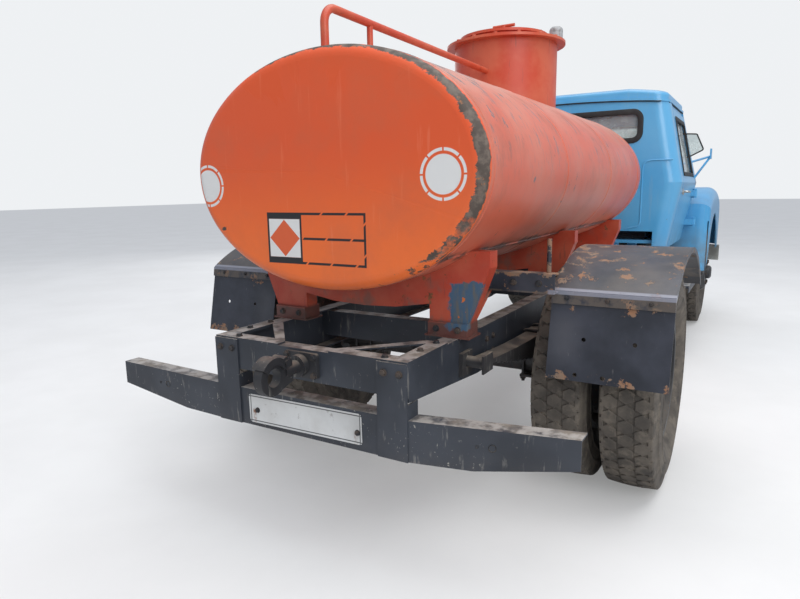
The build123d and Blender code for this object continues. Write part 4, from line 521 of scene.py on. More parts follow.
# %% Worn knuckle
def worn_knuckle(finish, across, high, ragged):
    """The mask and the colour of the band on the rolled edge where the paint has gone."""
    y = finish.y
    radius = (across * across + high * high).math("SQRT")
    torn = finish.noise(0.022, detail=6, roughness=0.75, shift=5.9) - 0.5
    thin_top = high.step(0.35, 0.95) * 0.022
    on_roll = (y + ragged * 0.05).step(
        tank_end_y - knuckle_reach * 0.85, tank_end_y - knuckle_reach * 0.75)
    edge_wear = (radius + ragged * 0.085 + torn * 0.05 - thin_top).step(0.946, 0.951) & on_roll
    side_share = (across * -1.0 + high * 0.5 + ragged * 2.2).step(-0.05, 0.20)
    flakes = finish.noise(0.045, detail=5, shift=2.7).step(0.5, 0.54)
    low_break = (high + ragged * 1.6).step(-0.75, -0.25) | flakes
    band = edge_wear & side_share & low_break & y.step(tank_centre.y, tank_centre.y + 0.1)
    band_cloud = finish.noise(0.035, detail=7).step(0.42, 0.66)
    band_tone = finish.blend(band_cloud, (0.078, 0.058, 0.045), (0.165, 0.128, 0.100))
    rusty = finish.noise(0.05, detail=6, shift=5.5).step(0.62, 0.66)
    return band, finish.blend(rusty, band_tone, rust_bright)


# %% Tank paint
def make_tank_paint():
    """Orange end, salmon barrel, worn knuckle, and the painted marks."""
    finish = Finish("tank_paint")
    y, z = finish.y, finish.z
    on_tank = z.step(tank_high.z + 0.01, tank_high.z) & y.step(tank_low.y - 0.05, tank_low.y)
    across = (finish.x - tank_centre.x) / tank_half.x
    high = (z - tank_centre.z) / tank_half.z
    barrel, bare_mask, pale = barrel_colour(finish, high, high.math("ARCTAN2", across))
    ragged = finish.noise(0.05, detail=7, roughness=0.7, shift=1.9) - 0.5
    head_y = tank_end_y - knuckle_reach
    on_head = (y + ragged * 0.02).step(head_y - 0.004, head_y + 0.004)
    colour = finish.blend(on_head, barrel, end_colour(finish, high))
    band, band_tone = worn_knuckle(finish, across, high, ragged)
    colour = finish.blend(band & on_tank, colour, band_tone)
    rough = 0.38 + (band | bare_mask | pale) * 0.3
    dents = finish.noise(0.4, detail=2) * 6.0
    height = dents + finish.noise(0.03, detail=4) * 0.25 - bare_mask * 0.2
    return finish.surface(colour, rough, normal=finish.relief(height, millimetre))


tank_paint = make_tank_paint()
dress(tank_paint, "tank_shell")

# %% [markdown]
# ## Fittings of the tank
# Neck, saddles and drain share the tank's orange in a duller, older coat. Near the frame it turns
# near black, and one leg of the rear saddle has been scraped down to a blue coat below.


# %% Neck, saddles and drain
def make_fitting_paint(name, base, faded, grime, bare_share, blue_leg=0.0):
    """Orange paint on fittings: faded above, grimy and near black towards the frame, bare in
    patches.
    """
    finish = Finish(name)
    x, y, z = finish.x, finish.y, finish.z
    colour = finish.blend(finish.noise(0.2, detail=4).step(0.35, 0.65), base, faded)
    run = finish.noise(0.018, stretch=(1, 1, 10), detail=4, shift=2.2).step(0.62, 0.72) * 0.4
    colour = finish.blend(run, colour, worn_brown)
    colour, bare = pitted(finish, colour, bare_share, size=0.06)
    low = finish.noise(0.09, detail=6, shift=3.6).step(0.5, 0.7) * z.step(1.15, 0.7) * grime
    colour = finish.blend(low, colour, mud_colour)
    colour, dusty = dusted(finish, colour, 0.5)
    # Near black below a fixed height, towards the frame.
    near_black_foot = z.step(0.826, 0.806) * grime
    colour = finish.blend(near_black_foot * 0.9, colour, (0.055, 0.048, 0.042))
    torn = (finish.noise(0.06, detail=7, roughness=0.7, shift=9.3) - 0.5) * 0.11
    rear_leg = (x + torn).step(-0.375, -0.385) & y.step(2.34, 2.36)
    patch = rear_leg & (z + torn).inside(0.79, 0.965, 0.004)
    scraped = finish.noise(0.018, stretch=(1, 1, 5), detail=6, shift=1.1).step(0.42, 0.66)
    blue = finish.blend(scraped, (0.055, 0.115, 0.19), (0.12, 0.125, 0.12))
    spot = finish.noise(0.03, detail=4, shift=6.3).step(0.66, 0.68)
    colour = finish.blend(patch * blue_leg, colour, finish.blend(spot, blue, (0.62, 0.16, 0.03)))
    off_x, off_y = x - breather_x, y - breather_y
    dome = (off_x * off_x + off_y * off_y).step(0.0022, 0.0020) & z.step(2.127, 2.130)
    dome_cloud = finish.noise(0.02, detail=6).step(0.4, 0.65)
    dome_grey = finish.blend(dome_cloud, (0.42, 0.43, 0.43), (0.24, 0.23, 0.22))
    colour = finish.blend(dome, colour, dome_grey)
    height = finish.noise(0.04, detail=4) * 0.4 - bare * 0.3
    rough = 0.42 + (bare | low | dusty) * 0.35
    return finish.surface(colour, rough, normal=finish.relief(height, millimetre))


breather_x, breather_y = -0.28, 0.770
neck_paint = make_fitting_paint(
    "neck_paint", (0.56, 0.062, 0.022), (0.60, 0.12, 0.055), grime=0.0, bare_share=0.06)
saddle_paint = make_fitting_paint(
    "saddle_paint", (0.46, 0.052, 0.022), (0.52, 0.10, 0.05), grime=0.9, bare_share=0.12,
    blue_leg=1.0)
dress(neck_paint, "filler_neck", "filler_lid")
dress(saddle_paint, "tank_saddles", "drain_valve")

# %% [markdown]
# ## Mudguards
# The guards are black sheet steel. Rust comes through where stones hit the flap and where the
# curved top was bent, the small ledge carries a bluish painted highlight, and a long pale smear
# runs down the middle of the flap where the twin tyres throw water at it.


# %% Guard paint
def make_guard_paint():
    """Black sheet steel with rust, a smear on the flap, a dirty bar and a painted highlight on the
    ledge.
    """
    finish = Finish("guard_paint")
    x, y, z = abs(finish.x), finish.y, finish.z
    cloud = finish.noise(0.25, detail=4).step(0.35, 0.7)
    colour = finish.blend(cloud, (0.020, 0.022, 0.029), (0.044, 0.048, 0.063))
    middle = abs(guard_low.x + guard_high.x) / 2
    smear = abs(x - middle).step(0.10, 0.0) * z.step(0.86, 0.78) * z.step(0.60, 0.72) * 0.22
    colour = finish.blend(smear, colour, (0.16, 0.16, 0.17))
    scratch = finish.noise(0.012, stretch=(1, 1, 9), detail=5).step(0.66, 0.74) * 0.35
    colour = finish.blend(scratch, colour, (0.20, 0.19, 0.18))
    ragged = finish.noise(0.075, detail=8, roughness=0.72, shift=6.1)
    flap_foot = z.step(0.66, 0.60)
    flap_head = z.step(0.80, 0.870)
    top_inner = z.step(0.96, 1.0) * x.step(middle + 0.08, middle - 0.16)
    rust_need = 0.70 - flap_foot * 0.16 - flap_head * 0.13 - top_inner * 0.13
    rusty = (ragged - rust_need).step(0.0, 0.02)
    rust_cloud = finish.noise(0.05, detail=5, shift=8.1).step(0.4, 0.6)
    tan_rust = finish.blend(rust_cloud, (0.30, 0.155, 0.085), (0.24, 0.165, 0.115))
    colour = finish.blend(rusty, colour, tan_rust)
    chip = finish.noise(0.045, detail=6, shift=11.3).step(0.735, 0.75)
    colour = finish.blend(chip, colour, (0.42, 0.41, 0.36))
    bar_cloud = finish.noise(0.05, detail=7, shift=2.4).step(0.36, 0.56)
    bar_dirt = z.step(0.868, 0.873) * z.step(0.920, 0.917) * bar_cloud
    colour = finish.blend(bar_dirt * 0.75, colour, (0.125, 0.10, 0.078))
    colour, dusty = dusted(finish, colour, 0.30, size=0.2)
    # Painted highlight: a pale bluish band along the ledge, towards the rear and the outside of
    # each guard.
    rear_half = y.step(guard_middle_y, guard_middle_y + 0.05) * x.step(0.69, 0.70)
    ledge = z.step(0.905, 0.908) * z.step(0.931, 0.927) * rear_half
    colour = finish.blend(ledge * 0.8, colour, (0.27, 0.28, 0.33))
    rough = 0.34 + (rusty | dusty) * 0.5
    height = finish.noise(0.15, detail=3) * 2.5 + rusty * 0.4 - chip * 0.3
    return finish.surface(colour, rough, normal=finish.relief(height, millimetre))


guard_low, guard_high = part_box("mudguard_right")
guard_middle_y = (guard_low.y + guard_high.y) / 2
dress(make_guard_paint(), "mudguard_left", "mudguard_right")

# %% [markdown]
# ## Cab, glass and rubber
# The cab is sky blue and better kept than the chassis: a soft gloss, dust on the roof, grime
# towards the sill, and one rust bloom where the fender meets the cowl.


# %% Cab paint
def make_cab_paint(name, base, faded):
    """Soft gloss in one colour: bleached above, grimy below, with a rust bloom on each side."""
    finish = Finish(name)
    z = finish.z
    colour = finish.blend(finish.noise(0.6, detail=4).step(0.35, 0.65), base, faded)
    streak = finish.noise(0.03, stretch=(1, 1, 14), detail=4, shift=2.9).step(0.58, 0.75) * 0.22
    colour = finish.blend(streak, colour, (0.30, 0.42, 0.50))
    colour, dusty = dusted(finish, colour, 0.35, size=0.3)
    bleached = finish.upward.step(0.2, 0.9) * z.step(1.90, 1.96) * 0.40
    colour = finish.blend(bleached, colour, (0.24, 0.38, 0.50))
    grime = z.step(1.05, 0.6) * finish.noise(0.15, detail=6, shift=4.4).step(0.3, 0.7) * 0.7
    colour = finish.blend(grime, colour, (0.16, 0.15, 0.13))
    at_cowl = abs(finish.y - bloom_y).step(0.14, 0.02) * z.step(1.18, 1.25)
    bloom_cloud = finish.noise(0.06, detail=6, shift=7.2).step(0.45, 0.6)
    bloom = at_cowl * bloom_cloud * abs(finish.x).step(0.80, 0.86)
    chip = finish.noise(0.018, detail=6, shift=5.7).step(0.73, 0.745)
    colour = finish.blend(chip | bloom, colour, rust_tone(finish))
    rough = 0.30 + (grime | dusty | chip) * 0.4
    height = finish.noise(0.25, detail=2) * 2.0 + finish.noise(0.02, detail=3) * 0.1
    gloss = {"Coat Weight": 0.25}
    return finish.surface(colour, rough, normal=finish.relief(height, millimetre), **gloss)


bloom_y = -1.55
cab_paint = make_cab_paint("cab_paint", (0.075, 0.36, 0.66), (0.12, 0.41, 0.68))
pale_paint = make_cab_paint("pale_paint", (0.62, 0.63, 0.60), (0.70, 0.70, 0.66))
dress(cab_paint, "cab_rear_wall", "cab_cowl", "cab_roof", "cab_floor", "front_fenders", "door_left",
      "door_right", "bonnet", "mirror_brackets")
dress(pale_paint, "front_bumper")


# %% Grille paint
def make_grille_paint():
    """Cream bars in front, and behind them the black radiator with its upright fins."""
    finish = Finish("grille_paint")
    cloud = finish.noise(0.3, detail=5).step(0.35, 0.7)
    cream = finish.blend(cloud, (0.62, 0.61, 0.56), (0.50, 0.47, 0.41))
    chip = finish.noise(0.03, detail=7, shift=3.7).step(0.68, 0.70)
    cream = finish.blend(chip, cream, rust_tone(finish))
    fin = (finish.x * (2 * pi / 0.008)).math("SINE").step(-0.4, 0.4)
    core = finish.blend(fin, (0.008, 0.008, 0.009), (0.05, 0.05, 0.052))
    behind = finish.y.step(radiator_front_y - 0.006, radiator_front_y - 0.003)
    colour = finish.blend(behind, cream, core)
    height = fin * behind + finish.noise(0.2, detail=2) * (1 - behind)
    relief = finish.relief(height, 1.5 * millimetre)
    return finish.surface(colour, 0.40 + behind * 0.3, normal=relief)


radiator_front_y = -2.797
dress(make_grille_paint(), "radiator_grille")


# %% Glass, lamp lenses and rubber
def make_glass():
    """Dusty window glass: clear glass under a milky film in cloudy patches."""
    finish = Finish("window_glass")
    film = 0.22 + finish.noise(0.2, detail=5).step(0.35, 0.8) * 0.28
    clear = finish.node(
        "BsdfGlass", values={"Color": (0.93, 0.97, 0.96, 1), "Roughness": 0.0, "IOR": 1.05})
    shine = finish.node("BsdfGlossy", values={"Color": (1, 1, 1, 1), "Roughness": 0.03})
    graze = finish.node("Fresnel", values={"IOR": 1.45})
    pane = finish.node("MixShader", values={0: graze, 1: clear, 2: shine})
    dirt = finish.node("BsdfDiffuse", values={"Color": (0.66, 0.72, 0.73, 1)})
    finish.close(finish.node("MixShader", values={0: film, 1: pane, 2: dirt}))
    return finish.material


def make_lens():
    """Fluted lamp glass over a bright bowl."""
    finish = Finish("lamp_lens")
    flute = (finish.x * (2 * pi / 0.009)).math("SINE") * 0.5
    face = finish.along.step(-0.3, -0.8)
    height = flute * face
    return finish.surface(
        finish.blend(face, (0.45, 0.46, 0.46), (0.82, 0.84, 0.84)), 0.12, metallic=0.55,
        normal=finish.relief(height, 0.8 * millimetre))


def make_rubber(name, tone, dust):
    """Aged black rubber, browned by dust."""
    finish = Finish(name)
    cloud = finish.noise(0.05, detail=5).step(0.35, 0.7)
    colour = finish.blend(cloud, tone, tuple(c * 2.2 for c in tone))
    colour, dusty = dusted(finish, colour, dust, size=0.06)
    grain = finish.relief(finish.noise(0.01), 0.3 * millimetre)
    return finish.surface(colour, 0.62 + dusty * 0.25, normal=grain)


seal_rubber = make_rubber("seal_rubber", (0.012, 0.012, 0.012), 0.3)
window_glass = make_glass()
dress(window_glass, "cab_glass", "door_glass_left", "door_glass_right")
dress(make_lens(), "headlamps")


# %% Cab inside
def make_inside_paint():
    """Dashboard in the body's blue, darkened as painted shade inside the cab, with black column and
    steering wheel.
    """
    finish = Finish("dash_paint")
    wheel_part = finish.y.step(-1.395, -1.385) | finish.z.step(1.222, 1.216)
    # The dashboard's blue is a darker copy of the body's blue: painted shade inside the cab.
    colour = finish.blend(wheel_part, (0.055, 0.20, 0.34), (0.012, 0.012, 0.013))
    scuff = finish.noise(0.05, detail=6).step(0.62, 0.72) * 0.5
    colour = finish.blend(scuff, colour, (0.12, 0.12, 0.12))
    return finish.surface(colour, 0.38, normal=finish.relief(finish.noise(0.02), 0.2 * millimetre))


def make_vinyl():
    """Dark brown seat cover with a fine grain."""
    finish = Finish("seat_vinyl")
    cloud = finish.noise(0.15, detail=5).step(0.35, 0.7)
    colour = finish.blend(cloud, (0.030, 0.020, 0.015), (0.06, 0.042, 0.032))
    grain = finish.cells(0.0035)
    return finish.surface(colour, 0.46, normal=finish.relief(grain, 0.25 * millimetre))


seat_vinyl = make_vinyl()
dress(make_inside_paint(), "dashboard")
dress(seat_vinyl, "seat")

# %% [markdown]
# ## Modelling helpers
# Every new piece starts from a primitive at its place, is shaped in edit mode, and ends at the
# origin with its place in its mesh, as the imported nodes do. What repeats is modelled once and
# copied, each copy with its own mesh, and the copies on one body are joined.

# %% Start and edit a piece
from contextlib import contextmanager


def choose(*pieces):
    """Select these pieces alone, with the first one active."""
    bpy.ops.object.select_all(action="DESELECT")
    for piece in pieces:
        piece.select_set(True)
    if pieces:
        bpy.context.view_layer.objects.active = pieces[0]


def start(name, primitive, **settings):
    """Add a primitive with nothing else selected."""
    choose()
    getattr(bpy.ops.mesh, f"primitive_{primitive}_add")(**settings)
    bpy.context.object.name = name
    return bpy.context.object


@contextmanager
def editing(piece, kind="FACE"):
    """Edit mode on one piece with nothing selected."""
    choose(piece)
    bpy.ops.object.mode_set(mode="EDIT")
    bpy.ops.mesh.select_mode(type=kind)
    bpy.ops.mesh.select_all(action="DESELECT")
    yield bmesh.from_edit_mesh(piece.data)
    bpy.ops.object.mode_set(mode="OBJECT")


# %% Pick and soften parts of a piece
def pick(piece, shape, parts, test):
    """Select the faces, edges or vertices whose middle passes the test."""
    for part in parts:
        middle = part.co if isinstance(part, bmesh.types.BMVert) else (
            sum((corner.co for corner in part.verts), Vector()) / len(part.verts))
        normal = part.normal if hasattr(part, "normal") else Vector()
        part.select_set(bool(test(middle, normal)))
    shape.select_flush_mode()
    bmesh.update_edit_mesh(piece.data)


def soften_end(piece, direction, width, segments=1):
    """Bevel the rim of the flat end that faces a direction."""
    aim = Vector(direction)
    with editing(piece) as shape:
        pick(piece, shape, shape.faces, lambda middle, normal: normal.dot(aim) > 0.8)
        bpy.ops.mesh.bevel(offset=width, segments=segments, affect="EDGES")


def round_corners(sheet, radius, segments):
    """Round the corners of a flat sheet."""
    with editing(sheet, "VERT"):
        bpy.ops.mesh.select_all(action="SELECT")
        bpy.ops.mesh.bevel(offset=radius, segments=segments, affect="VERTICES")


# %% Put a piece in its place
def put(piece, place):
    """Move a piece to a place given as a matrix, and apply it to the mesh."""
    piece.matrix_world = place
    choose(piece)
    bpy.ops.object.transform_apply(location=True, rotation=True, scale=True)


def aimed(place, direction, roll=0.0, size=1.0):
    """A matrix whose own Z points in a direction."""
    turn = Vector(direction).to_track_quat("Z", "Y").to_matrix().to_4x4()
    return Matrix.Translation(place) @ turn @ Matrix.Rotation(roll, 4, "Z") @ Matrix.Scale(size, 4)


def box_piece(name, middle, sides):
    """A box of given sides round a middle."""
    piece = start(name, "cube", size=1.0)
    piece.data.transform(Matrix.Translation(middle) @ Matrix.Diagonal((*sides, 1)))
    return piece


# %% Modify, join and repeat
def modify(piece, kind, **settings):
    """Add a modifier and apply it at once."""
    choose(piece)
    made = piece.modifiers.new(kind.lower(), kind)
    for name, value in settings.items():
        setattr(made, name, value)
    bpy.ops.object.modifier_apply(modifier=made.name)


def joined(name, pieces):
    """Join pieces into one under a name."""
    choose(*pieces)
    if len(pieces) > 1:
        bpy.ops.object.join()
    pieces[0].name = name
    return pieces[0]


def copied(model, place):
    """A copy of a model with its own mesh, moved to a place."""
    twin = model.copy()
    twin.data = model.data.copy()
    scene.collection.objects.link(twin)
    twin.data.transform(place)
    return twin


def repeated(name, model, places):
    """Copies of a model at many places, joined; the model itself goes."""
    twins = [copied(model, place) for place in places]
    bpy.data.objects.remove(model)
    return joined(name, twins)


# %% End a piece
def end_piece(piece, body, finish_material, smooth=35):
    """Outward normals, soft shading, finish, body and slot."""
    with editing(piece):
        bpy.ops.mesh.select_all(action="SELECT")
        bpy.ops.mesh.normals_make_consistent(inside=False)
    choose(piece)
    bpy.ops.object.shade_smooth_by_angle(angle=radians(smooth))
    piece.data.materials.clear()
    piece.data.materials.append(finish_material)
    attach(piece, body)
    print(piece.name, len(piece.data.polygons), "faces")


# %% Bent rods
def rod(name, points, radius, soft=0.4, sides=3):
    """A bent rod along points, its corners softened, as a closed mesh."""
    choose()
    bpy.ops.curve.primitive_nurbs_path_add()
    path = bpy.context.object
    path.name = name
    path.data.splines.clear()
    spline = path.data.splines.new("POLY")
    corners = [Vector(point) for point in points]
    dense = [corners[0]]
    for before, corner, after in zip(corners, corners[1:], corners[2:]):
        reach = soft * min((corner - before).length, (after - corner).length)
        enter = corner + (before - corner).normalized() * reach
        leave = corner + (after - corner).normalized() * reach
        for share in (0, 0.2, 0.4, 0.6, 0.8, 1.0):
            dense.append(enter.lerp(corner, share).lerp(corner.lerp(leave, share), share))
    dense.append(corners[-1])
    spline.points.add(len(dense) - 1)
    for point, place in zip(spline.points, dense):
        point.co = (*place, 1)
    path.data.dimensions = "3D"
    path.data.bevel_depth = radius
    path.data.bevel_resolution = sides
    path.data.use_fill_caps = True
    bpy.ops.object.convert(target="MESH")
    return bpy.context.object


# %% [markdown]
# ## Tyres
# A worn truck tyre: bulged walls with two ribs, and rows of six-sided blocks with shallow grooves
# between them. The body is a section spun round the axle. The tread is laid out flat, row by row,
# and its points are then rolled round the wheel, so every block follows the curve.


# %% Tyre rubber
def make_tyre_rubber():
    """Dark rubber under dried mud."""
    finish = Finish("tyre_rubber")
    cloud = finish.noise(0.16, detail=6)
    colour = finish.blend(cloud.step(0.3, 0.7), (0.062, 0.054, 0.046), (0.150, 0.128, 0.103))
    mud = finish.noise(0.05, detail=7, roughness=0.7, shift=4.4).step(0.48, 0.66)
    colour = finish.blend(mud * 0.7, colour, (0.19, 0.16, 0.125))
    dark = finish.noise(0.09, detail=5, shift=8.8).step(0.56, 0.68) * 0.55
    colour = finish.blend(dark, colour, (0.028, 0.027, 0.028))
    height = finish.noise(0.012, detail=5) * 0.8 + finish.noise(0.05, detail=3) * 0.8
    return finish.surface(colour, 0.86, normal=finish.relief(height, millimetre))


tyre_rubber = make_tyre_rubber()

# %% Sizes of a tyre
tyre_low, tyre_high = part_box("tyre_front_left")
tyre_radius = (tyre_high.z - tyre_low.z) / 2
tyre_half_width = (tyre_high.x - tyre_low.x) / 2
rim_radius = 0.2545
bead_half = 0.074
tread_half = 0.093
block_height = 0.007
block_length = 0.062
block_rows = 3
lug_width = 0.016
section_steps = 7
rib_steps = (3, 5)
rib_half_width, rib_proud = 0.006, 0.0025
spin_steps = 96
print("tyre radius", round(tyre_radius, 4), "half width", round(tyre_half_width, 4))


# %% Section of a tyre
def wall_section():
    """Half of a tyre's section from the bead to the middle of the tread, as (x, radius)."""
    wall_low, wall_high = rim_radius + 0.026, tyre_radius - 0.022
    points = [(bead_half, rim_radius), (bead_half, wall_low)]
    for step in range(1, section_steps):
        share = step / section_steps
        radius = wall_low + (wall_high - wall_low) * share
        bulge = sin(pi * min(1.0, share * 1.05)) ** 0.7
        start_x = bead_half + (tread_half + 0.008 - bead_half) * share
        x = start_x + (tyre_half_width - 0.002 - start_x) * bulge
        if step in rib_steps:
            points += [(x, radius - rib_half_width), (x + rib_proud, radius - 0.004),
                       (x + rib_proud, radius + 0.004), (x, radius + rib_half_width)]
        else:
            points.append((x, radius))
    base = tyre_radius - block_height
    shoulder = [(tread_half + 0.006, tyre_radius - 0.018), (tread_half - 0.004, base - 0.005)]
    return points + shoulder + [(0, base)]


def tyre_body(name, centre_x, centre_y):
    """The section spun round the axle."""
    half = wall_section()
    outline = half + [(-x, radius) for x, radius in reversed(half[:-1])]
    body = start(name, "circle", vertices=len(outline), radius=0.1, fill_type="NOTHING")
    for vertex, (x, radius) in zip(body.data.vertices, outline):
        vertex.co = (centre_x + x, centre_y, tyre_radius + radius)
    with editing(body, "VERT"):
        bpy.ops.mesh.select_all(action="SELECT")
        bpy.ops.mesh.spin(
            steps=spin_steps, angle=2 * pi, use_auto_merge=True,
            center=(centre_x, centre_y, tyre_radius), axis=(1, 0, 0))
        bpy.ops.mesh.select_all(action="SELECT")
        bpy.ops.mesh.remove_doubles(threshold=0.0001)
    return body


# %% Tread
def tyre_tread(name, centre_x, centre_y):
    """Blocks and shoulder lugs laid out flat, then rolled round the wheel."""
    count = round(2 * pi * tyre_radius / block_length)
    pitch = 2 * pi * tyre_radius / count
    row_step = 2 * tread_half / block_rows
    # The feet of the blocks are sunk into the body, so that no gap shows
    depth = block_height * 1.6
    block = start("block", "cylinder", vertices=6, radius=row_step * 0.60, depth=depth)
    soften_end(block, (0, 0, 1), 0.0025)
    lug = box_piece("lug", (0, 0, 0), (lug_width, pitch * 0.80, depth))
    soften_end(lug, (0, 0, 1), 0.002)
    squeeze = Matrix.Diagonal((0.90, pitch / (row_step * 1.2) * 1.02, 1, 1))
    twins = []
    for turn_index in range(count):
        for row in range(block_rows):
            x = (row - (block_rows - 1) / 2) * row_step
            run = (turn_index + 0.5 * (row % 2)) * pitch
            twins.append(copied(block, Matrix.Translation((x, run, 0)) @ squeeze))
        for side in (1, -1):
            shoulder = (side * (tread_half - 0.0035), (turn_index + 0.5) * pitch, 0)
            twins.append(copied(lug, Matrix.Translation(shoulder)))
    bpy.data.objects.remove(block)
    bpy.data.objects.remove(lug)
    tread = joined(name, twins)
    for vertex in tread.data.vertices:
        x, run, rise = vertex.co
        crown = 0.006 * (x / tread_half) ** 2
        radius = tyre_radius - crown - 0.0012 - block_height * 0.8 + min(rise, block_height * 0.8)
        angle = run / tyre_radius
        rolled = (x, radius * sin(angle), radius * cos(angle))
        vertex.co = Vector(rolled) + Vector((centre_x, centre_y, tyre_radius))
    return tread


# %% Tyres on their wheels
tyre_nodes = ("tyre_front_left", "tyre_front_right", "tyres_rear_left", "tyres_rear_right")
widest_single = 0.4
for node in tyre_nodes:
    low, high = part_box(node)
    middle_y = (low.y + high.y) / 2
    if high.x - low.x > widest_single:
        centres = (low.x + tyre_half_width, high.x - tyre_half_width)
    else:
        centres = ((low.x + high.x) / 2,)
    rings = []
    for x in centres:
        rings += [tyre_body("tyre_body", x, middle_y), tyre_tread("tyre_tread", x, middle_y)]
    whole = joined(node.replace("tyre", "treaded_tyre"), rings)
    wheel_body = node.replace("tyres_rear", "wheel_rear").replace("tyre_front", "wheel_front")
    end_piece(whole, wheel_body, tyre_rubber, smooth=40)
    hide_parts(node)

# %% [markdown]
# ## Bolts and nuts
# One hexagon head on a washer is modelled, and every place that needs one gets a copy. The places
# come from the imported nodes, so the heads sit on the faces that they clamp.


# %% Bolt head
def make_bolt():
    """A hexagon head, 22 mm across its corners, on its washer; its seat is at z = 0."""
    parts = []
    for name, sides, radius, depth, z in (
            ("washer", 14, 0.0135, 0.0025, 0.00125), ("head", 6, 0.011, 0.0075, 0.00625)):
        part = start(name, "cylinder", vertices=sides, radius=radius, depth=depth)
        put(part, Matrix.Translation((0, 0, z)))
        soften_end(part, (0, 0, 1), 0.0009)
        parts.append(part)
    return joined("bolt", parts)


bolt_finish = Finish("bolt_steel")
bolt_cloud = bolt_finish.noise(0.03, detail=5).step(0.4, 0.62)
bolt_steel = bolt_finish.surface(
    bolt_finish.blend(bolt_cloud, (0.020, 0.021, 0.024), (0.075, 0.055, 0.042)), 0.6)


# %% Bolts on the chassis
def facing(direction, spots):
    """Bolts on a face that looks in a direction, each turned a little by chance."""
    return [aimed(spot, direction, roll=dice.uniform(0, 1)) for spot in spots]


def along_y(x_places, y, z_places, sign=1):
    """Bolts on a face that looks along Y."""
    return facing((0, sign, 0), [(x, y, z) for x in x_places for z in z_places])


def along_x(x, y_places, z_places, sign=1):
    """Bolts on a face that looks along X."""
    return facing((sign, 0, 0), [(x, y, z) for y in y_places for z in z_places])


bumper_face_y = 2.770
rail_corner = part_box("frame_rail_left")[1]
rail_outer, frame_top_z = rail_corner.x, rail_corner.z
post_face_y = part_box("rear_bumper")[1].y
post_middle = rail_outer - 0.058
post_bolt_z = 0.722
hanger_bolt_y, hanger_bolt_z = (2.05, 2.12, 1.12, 1.19, 0.02, 0.09), (0.70, 0.64)
crossmember_bolt_y, crossmember_bolt_z = (-0.56, 0.64, -1.35, -2.62, -2.55), (0.66, 0.71)
# Place of each saddle along the truck and its depth
saddle_rows = ((2.335, 0.070), (1.194, 0.060), (0.060, 0.070))
saddle_bolt_x, saddle_bolt_z = (0.335, 0.425), 0.789
gusset_bolts = ((0.395, 2.50), (0.395, 2.62), (0.33, 2.745))
gusset_top_z = frame_top_z + 0.006
hook_z, hook_plate_y = 0.704, bumper_face_y + 0.014
places = []
for side in (1, -1):
    post_x = (side * (post_middle - 0.03), side * (post_middle + 0.03))
    places += along_y(post_x, post_face_y, (post_bolt_z,))
    places += along_x(side * rail_outer, hanger_bolt_y, hanger_bolt_z, side)
    places += along_x(side * rail_outer, crossmember_bolt_y, crossmember_bolt_z, side)
    for saddle_y, depth in saddle_rows:
        for face in (1, -1):
            block_face = saddle_y + face * (depth / 2 + 0.015)
            block_x = [side * x for x in saddle_bolt_x]
            places += along_y(block_x, block_face, (saddle_bolt_z,), face)
    places += facing((0, 0, 1), [(side * x, y, gusset_top_z) for x, y in gusset_bolts])
places += along_y((-0.06, 0.06), hook_plate_y, (hook_z - 0.033, hook_z + 0.033))
chassis_bolts = repeated("chassis_bolts", make_bolt(), places)
end_piece(chassis_bolts, "chassis", bolt_steel)

# %% Bolts on the neck and the guards
flange_top_z = 2.125
neck_y = 0.830
neck_bolt_count = 16
neck_bolt_circle = 0.318
# What stands on the flange, with the room that it needs: the breather and the lid's hinge
breather_spot, breather_room = Vector((breather_x, breather_y)), 0.065
hinge_spot, hinge_room = Vector((0, 0.590)), 0.08
neck_spots = []
for index in range(neck_bolt_count):
    angle = 2 * pi * (index + 0.5) / neck_bolt_count
    spot = Vector((0, neck_y)) + Vector((cos(angle), sin(angle))) * neck_bolt_circle
    if (spot - breather_spot).length > breather_room and (spot - hinge_spot).length > hinge_room:
        neck_spots.append((*spot, flange_top_z))
neck_bolts = repeated("neck_bolts", make_bolt(), facing((0, 0, 1), neck_spots))
end_piece(neck_bolts, "chassis", neck_paint)

bar_bolt_x, arm_bolt_x = (0.755, 0.905, 1.055), (0.56, 0.66)
bar_face, bar_lean = (2.1225, 0.894), (0, 1, -0.07)
arm_face_y, arm_bolt_z = 2.166, 0.950
guard_places = []
for side in (1, -1):
    guard_places += [aimed((side * x, *bar_face), bar_lean, size=0.62) for x in bar_bolt_x]
    guard_places += along_y([side * x for x in arm_bolt_x], arm_face_y, (arm_bolt_z,))
guard_bolts = repeated("guard_bolts", make_bolt(), guard_places)
end_piece(guard_bolts, "chassis", bolt_steel)

# %% Wheel nuts
both_sides = ((1, "left"), (-1, "right"))
stud_circle = 0.111
stud_count = 6
nut_size = 1.5


def wheel_nuts(body, seat_x, centre_y, side):
    """Nuts on studs round the hub, on the face of the disc."""
    ring = []
    for index in range(stud_count):
        angle = 2 * pi * index / stud_count
        y, z = centre_y + stud_circle * cos(angle), tyre_radius + stud_circle * sin(angle)
        ring.append(aimed((seat_x, y, z), (side, 0, 0), roll=angle, size=nut_size))
    nuts = repeated(f"nuts_{body}", make_bolt(), ring)
    end_piece(nuts, body, bolt_steel)


# Wheel node, its body, and the place of the disc's face beside the truck's middle
wheel_seats = (("wheel_front", "wheel_front", 0.9515), ("wheels_rear", "wheel_rear", 0.8552))
for side, word in both_sides:
    for node, body, seat_x in wheel_seats:
        low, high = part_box(f"{node}_{word}")
        wheel_nuts(f"{body}_{word}", side * seat_x, (low.y + high.y) / 2, side)

# %% [markdown]
# ## Window rubber
# Every window sits in a black rubber moulding that laps over the panel and the pane. A plane on
# the window's four corners is rounded by a vertex bevel, inset to a ring, thickened and softened,
# so one recipe serves the upright rear window, the raked windscreen and both doors.


# %% Seals round the windows
def grown(corners, reach):
    """Corners of a flat outline moved outwards by a reach."""
    moved = []
    for index, corner in enumerate(corners):
        into = (corner - corners[index - 1]).normalized()
        away = (corners[(index + 1) % len(corners)] - corner).normalized()
        moved.append(corner + (into - away) * (reach / into.cross(away).length))
    return moved


